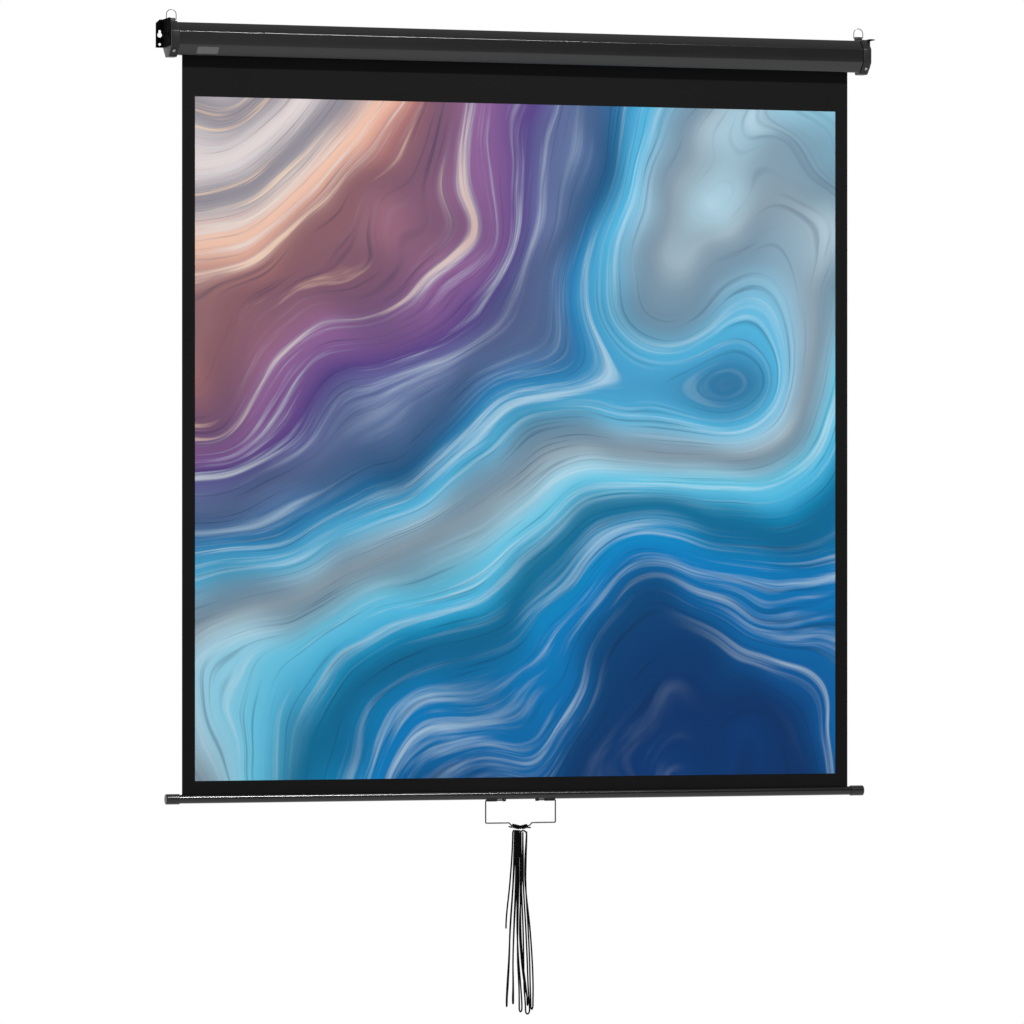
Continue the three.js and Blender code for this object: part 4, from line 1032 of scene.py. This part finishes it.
def cross_screw_tree():
    """A screw at each point of the source, turned by the point's own angles."""
    sizes = ("Head Radius", "Head Height", "Shank Radius", "Shank Length")
    tree, nodes, given = new_tree("cross_screw", *sizes)
    head, tall, shank = given["Head Radius"], given["Head Height"], given["Shank Radius"]
    line = nodes.add("GeometryNodeCurvePrimitiveLine", {}, {"End": (0, 0, SCREW_HEAD_TALL)})
    rings = nodes.add("GeometryNodeResampleCurve", {}, {"Curve": line, "Count": SCREW_RINGS})
    index = nodes.add("GeometryNodeInputIndex")
    in_head = index > SHANK_RINGS - 0.5
    angle = ((index - SHANK_RINGS) / (SCREW_RINGS - SHANK_RINGS - 1)).most(LEAST) * QUARTER
    height = in_head * tall * angle.sine() - (index < 0.5) * given["Shank Length"]
    risen = {"Geometry": rings, "Position": nodes.vector(Z=height)}
    axis = nodes.add("GeometryNodeSetPosition", {}, risen)
    dome = (QUARTER - angle).sine().most(LEAST) ** 0.5 * head
    circle = {"Resolution": SCREW_SIDES, "Radius": 1.0}
    ring = nodes.add("GeometryNodeCurvePrimitiveCircle", {}, circle)
    width = in_head * (dome - shank) + shank
    turned = {"Curve": axis, "Profile Curve": ring, "Scale": width, "Fill Caps": True}
    screw = nodes.add("GeometryNodeCurveToMesh", {}, turned)
    for along, across in ((RECESS_LONG, RECESS_WIDE), (RECESS_WIDE, RECESS_LONG)):
        size = nodes.vector(X=head * along, Y=head * across, Z=tall)
        blade = nodes.add("GeometryNodeMeshCube", {}, {"Size": size})
        lift = {"Geometry": blade, "Translation": nodes.vector(Z=tall)}
        raised = nodes.add("GeometryNodeTransform", {}, lift)
        cut = {"operation": "DIFFERENCE", "solver": "EXACT"}
        sockets = {"Mesh 1": screw, "Mesh 2": raised}
        screw = nodes.add("GeometryNodeMeshBoolean", cut, sockets)
    vector = {"data_type": "FLOAT_VECTOR"}
    turn = nodes.add("GeometryNodeInputNamedAttribute", vector, {"Name": "turn"})
    placed = {"Points": given["Geometry"], "Instance": screw, "Rotation": turn}
    finish_tree(nodes, nodes.add("GeometryNodeInstanceOnPoints", {}, placed), given["Material"])
    return tree


def screw_places(name, outward):
    """Points on the lines of the CAD screws, where their heads' undersides are."""
    places, turns, lengths = [], [], []
    for node, axis in outward.items():
        axis = Vector(axis).normalized()
        corners = [vertex.co for vertex in frame["nodes"][node].data.vertices]
        reach = [corner.dot(axis) for corner in corners]
        flat = [corner - axis * corner.dot(axis) for corner in corners]
        middle = sum(flat, Vector()) / len(corners)
        places.append(middle + axis * (max(reach) - SCREW_HEAD_TALL))
        turns.append(axis.to_track_quat("Z", "Y").to_euler())
        lengths.append(max(reach) - min(reach) - SCREW_HEAD_TALL)
    mesh = new_mesh(name, places)
    attribute = mesh.attributes.new("turn", "FLOAT_VECTOR", "POINT")
    attribute.data.foreach_set("vector", [angle for turn in turns for angle in turn])
    return new_piece(name, mesh), min(lengths)


screw_zinc = bare_metal("screw_zinc", (0.5, 0.5, 0.51), rough=0.3, grain=1e-5)
cross_screw = cross_screw_tree()
cap_sides = {"front": (0, -1, -1), "rear": (0, 1, 1)}
cap_screws = {
    f"cap_screw_{side}_{word}": axis
    for word in ("left", "right")
    for side, axis in cap_sides.items()
}
bracket_screws = {"bracket_screw_left": (-1, 0, 0), "bracket_screw_right": (1, 0, 0)}
for name, nodes_stood_for, material, slot in (
    ("cap_screws", cap_screws, screw_zinc, "bright_steel"),
    ("bracket_screws", bracket_screws, powder_black, "bracket_steel"),
):
    source, shank_length = screw_places(name + "_places", nodes_stood_for)
    values = {
        "Head Radius": SCREW_HEAD,
        "Head Height": SCREW_HEAD_TALL,
        "Shank Radius": SCREW_SHANK,
        "Shank Length": shank_length,
        "Material": material,
    }
    screws = grown(name, source, cross_screw, values)
    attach(screws, "case")
    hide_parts(*nodes_stood_for)

# Name plate's place. A thin plain plate of brushed metal with rounded corners and an eased edge,
# stuck to the housing's lower front side near the left end.
PLATE_LEFT, PLATE_RIGHT = -0.7683, -0.7195
PLATE_TALL = 0.0195
PLATE_THICK = 0.0004
PLATE_CORNER = 0.0015
PLATE_CORNER_STEPS = 6
PLATE_EDGE = 0.7
PLATE_TOP_SHARE = 0.99
plate_grey = Finish("plate_grey", Roughness=0.42, Specular_IOR_Level=0.3)
plate_place = plate_grey.place()
brushing = plate_grey.noise(plate_grey.scaled(plate_place, (40, 2500, 2500)), 1.0, 3)
plate_grey.set(Base_Color=plate_grey.mixed(brushing, (0.13, 0.13, 0.132), (0.2, 0.2, 0.203)))
plate_grey.bump(brushing, 0.00001, 0.5)
plate_outline = []
plate_half = (PLATE_RIGHT - PLATE_LEFT) / 2 - PLATE_CORNER
tall_half = PLATE_TALL / 2 - PLATE_CORNER
for k, (across, rise) in enumerate(((1, 1), (-1, 1), (-1, -1), (1, -1))):
    centre = (across * plate_half, rise * tall_half)
    start, end = k * QUARTER, (k + 1) * QUARTER
    plate_outline += arc_points(centre, PLATE_CORNER, start, end, PLATE_CORNER_STEPS)
count = len(plate_outline)
body = bmesh.new()
rings = []
levels = ((0, 1.0), (PLATE_THICK * PLATE_EDGE, 1.0), (PLATE_THICK, PLATE_TOP_SHARE))
for lift, shrink in levels:
    rings.append([body.verts.new((a * shrink, -lift, b * shrink)) for a, b in plate_outline])
for lower, upper in zip(rings, rings[1:]):
    for i in range(count):
        body.faces.new((lower[i], lower[(i + 1) % count], upper[(i + 1) % count], upper[i]))
body.faces.new(rings[-1])
body.faces.new(rings[0][::-1])
bmesh.ops.recalc_face_normals(body, faces=body.faces)
mesh = bpy.data.meshes.new("plain_plate")
body.to_mesh(mesh)
body.free()
bevel_middle = Vector((
    (PLATE_LEFT + PLATE_RIGHT) / 2,
    -2 * case_half + (case_half - case_flat) / 2,
    -(case_half + case_flat) / 2,
))
mesh.transform(Matrix.Translation(bevel_middle) @ Matrix.Rotation(math.pi / 4, 4, "X"))
plate = new_piece("plain_plate", mesh, plate_grey.material)
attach(plate, "case")

# Parts inside the housing. The roller, its plugs, the ratchet and the fixed shaft keep their CAD
# shapes and get their own metals and natural nylon. They show only through the slot.
inner_steel = bare_metal("inner_steel", (0.3, 0.3, 0.31), rough=0.32, grain=2e-5)
nylon = Finish("nylon", Roughness=0.5)
nylon_place = nylon.place()
nylon_cloud = nylon.noise(nylon_place, 60, 3)
nylon.set(Base_Color=nylon.mixed(nylon_cloud, (0.62, 0.6, 0.53), (0.76, 0.75, 0.69)))
nylon.bump(nylon.noise(nylon_place, 900, 2), 0.00002, 0.5)
nylon_nodes = ("roller_head", "spring_plug", "idler_plug")
steel_nodes = ("roller_tube", "idler_bush", "pawl_a", "pawl_b", "spring_shaft", "ratchet_hub")
steel_nodes += ("torsion_spring", "idler_pin", "hem_rod")
for node in nylon_nodes + steel_nodes:
    materials = frame["nodes"][node].data.materials
    materials.clear()
    materials.append(nylon.material if node in nylon_nodes else inner_steel)

# Floor, backdrop and light. A pale floor under the hanging screen fades into a white backdrop, and
# the room in front is dimmer. Two strip lamps hang high in front on the right, side by side, and a
# dim soft panel stands below them.
FLOOR_DROP = 0.35
FLOOR_HALF = 60
FLOOR_FADE = (1.5, 3.6)
FLOOR_GLOW = 0.6
ROOM_LIGHT = 0.38
ROOM_FADE = (-0.3, 1.0)
ROOM_MIRRORED, ROOM_BEHIND = 0.74, 0.12


def rays(nodes):
    """Whether a ray comes from the camera, from a glossy surface or through a clear one."""
    kinds = ("Is Camera Ray", "Is Glossy Ray", "Is Transmission Ray")
    return [nodes.add("ShaderNodeLightPath", out=kind) for kind in kinds]


floor_height = cad_box[0].z - FLOOR_DROP
corners = [(x * FLOOR_HALF, y * FLOOR_HALF) for x, y in ((-1, -1), (1, -1), (1, 1), (-1, 1))]
mesh = new_mesh("floor", [(x, y, floor_height) for x, y in corners], [(0, 1, 2, 3)])
floor_material = bpy.data.materials.new("pale_floor")
floor_material.use_nodes = True
pale = Nodes(floor_material.node_tree)
looks = rays(pale)
floor_place = pale.add("ShaderNodeTexCoord", out="Object")
distance = pale.add("ShaderNodeVectorMath", {"operation": "LENGTH"}, {0: floor_place}, "Value")
matt = pale.add("ShaderNodeBsdfDiffuse", {}, {"Color": (0.86, 0.86, 0.86, 1)})
glow = pale.add("ShaderNodeEmission", {}, {"Color": (1, 1, 1, 1), "Strength": 1.0})
faded = distance.ramp(*FLOOR_FADE) * (1 - FLOOR_GLOW) + FLOOR_GLOW
share = (looks[0] * faded).most(looks[1]).most(looks[2])
seen = pale.add("ShaderNodeMixShader", {}, {0: share, 1: matt, 2: glow})
pale.add("ShaderNodeOutputMaterial", {}, {"Surface": seen})
floor = new_piece("floor", mesh, floor_material)

world = bpy.data.worlds.new("surround")
bpy.context.scene.world = world
world.use_nodes = True
around = Nodes(world.node_tree)
seen_by = rays(around)
looking = around.add("ShaderNodeTexCoord", out="Generated")
ahead = around.add("ShaderNodeSeparateXYZ", {}, {0: looking}, out="Y")
change = ahead.ramp(*ROOM_FADE) * ROOM_MIRRORED - ROOM_BEHIND
strength = seen_by[0].most(seen_by[1].most(seen_by[2]) * change + ROOM_LIGHT)
sky = around.add("ShaderNodeBackground", {}, {"Color": (1, 1, 1, 1), "Strength": strength})
around.add("ShaderNodeOutputWorld", {}, {"Surface": sky})


def lamp(name, place, target, width, height, power):
    """A rectangular lamp that points at its target and isn't seen itself."""
    data = bpy.data.lights.new(name, "AREA")
    data.shape = "RECTANGLE"
    data.size, data.size_y = width, height
    data.energy = power
    light = bpy.data.objects.new(name, data)
    light.location = place
    light.rotation_euler = (Vector(target) - Vector(place)).to_track_quat("-Z", "Y").to_euler()
    light.visible_camera = False
    bpy.context.scene.collection.objects.link(light)


lamp("strip_above", (1.08, -4.6, 3.6), (0, 0, -0.9), width=1.0, height=0.35, power=255)
lamp("strip_beside", (1.8, -4.6, 3.6), (0, 0, -0.9), width=0.45, height=0.35, power=60)
lamp("soft_front", (0.65, -6.0, 0.6), (0, 0, -0.6), width=1.9, height=2.4, power=3)

bpy.context.scene.view_settings.view_transform = "Standard"
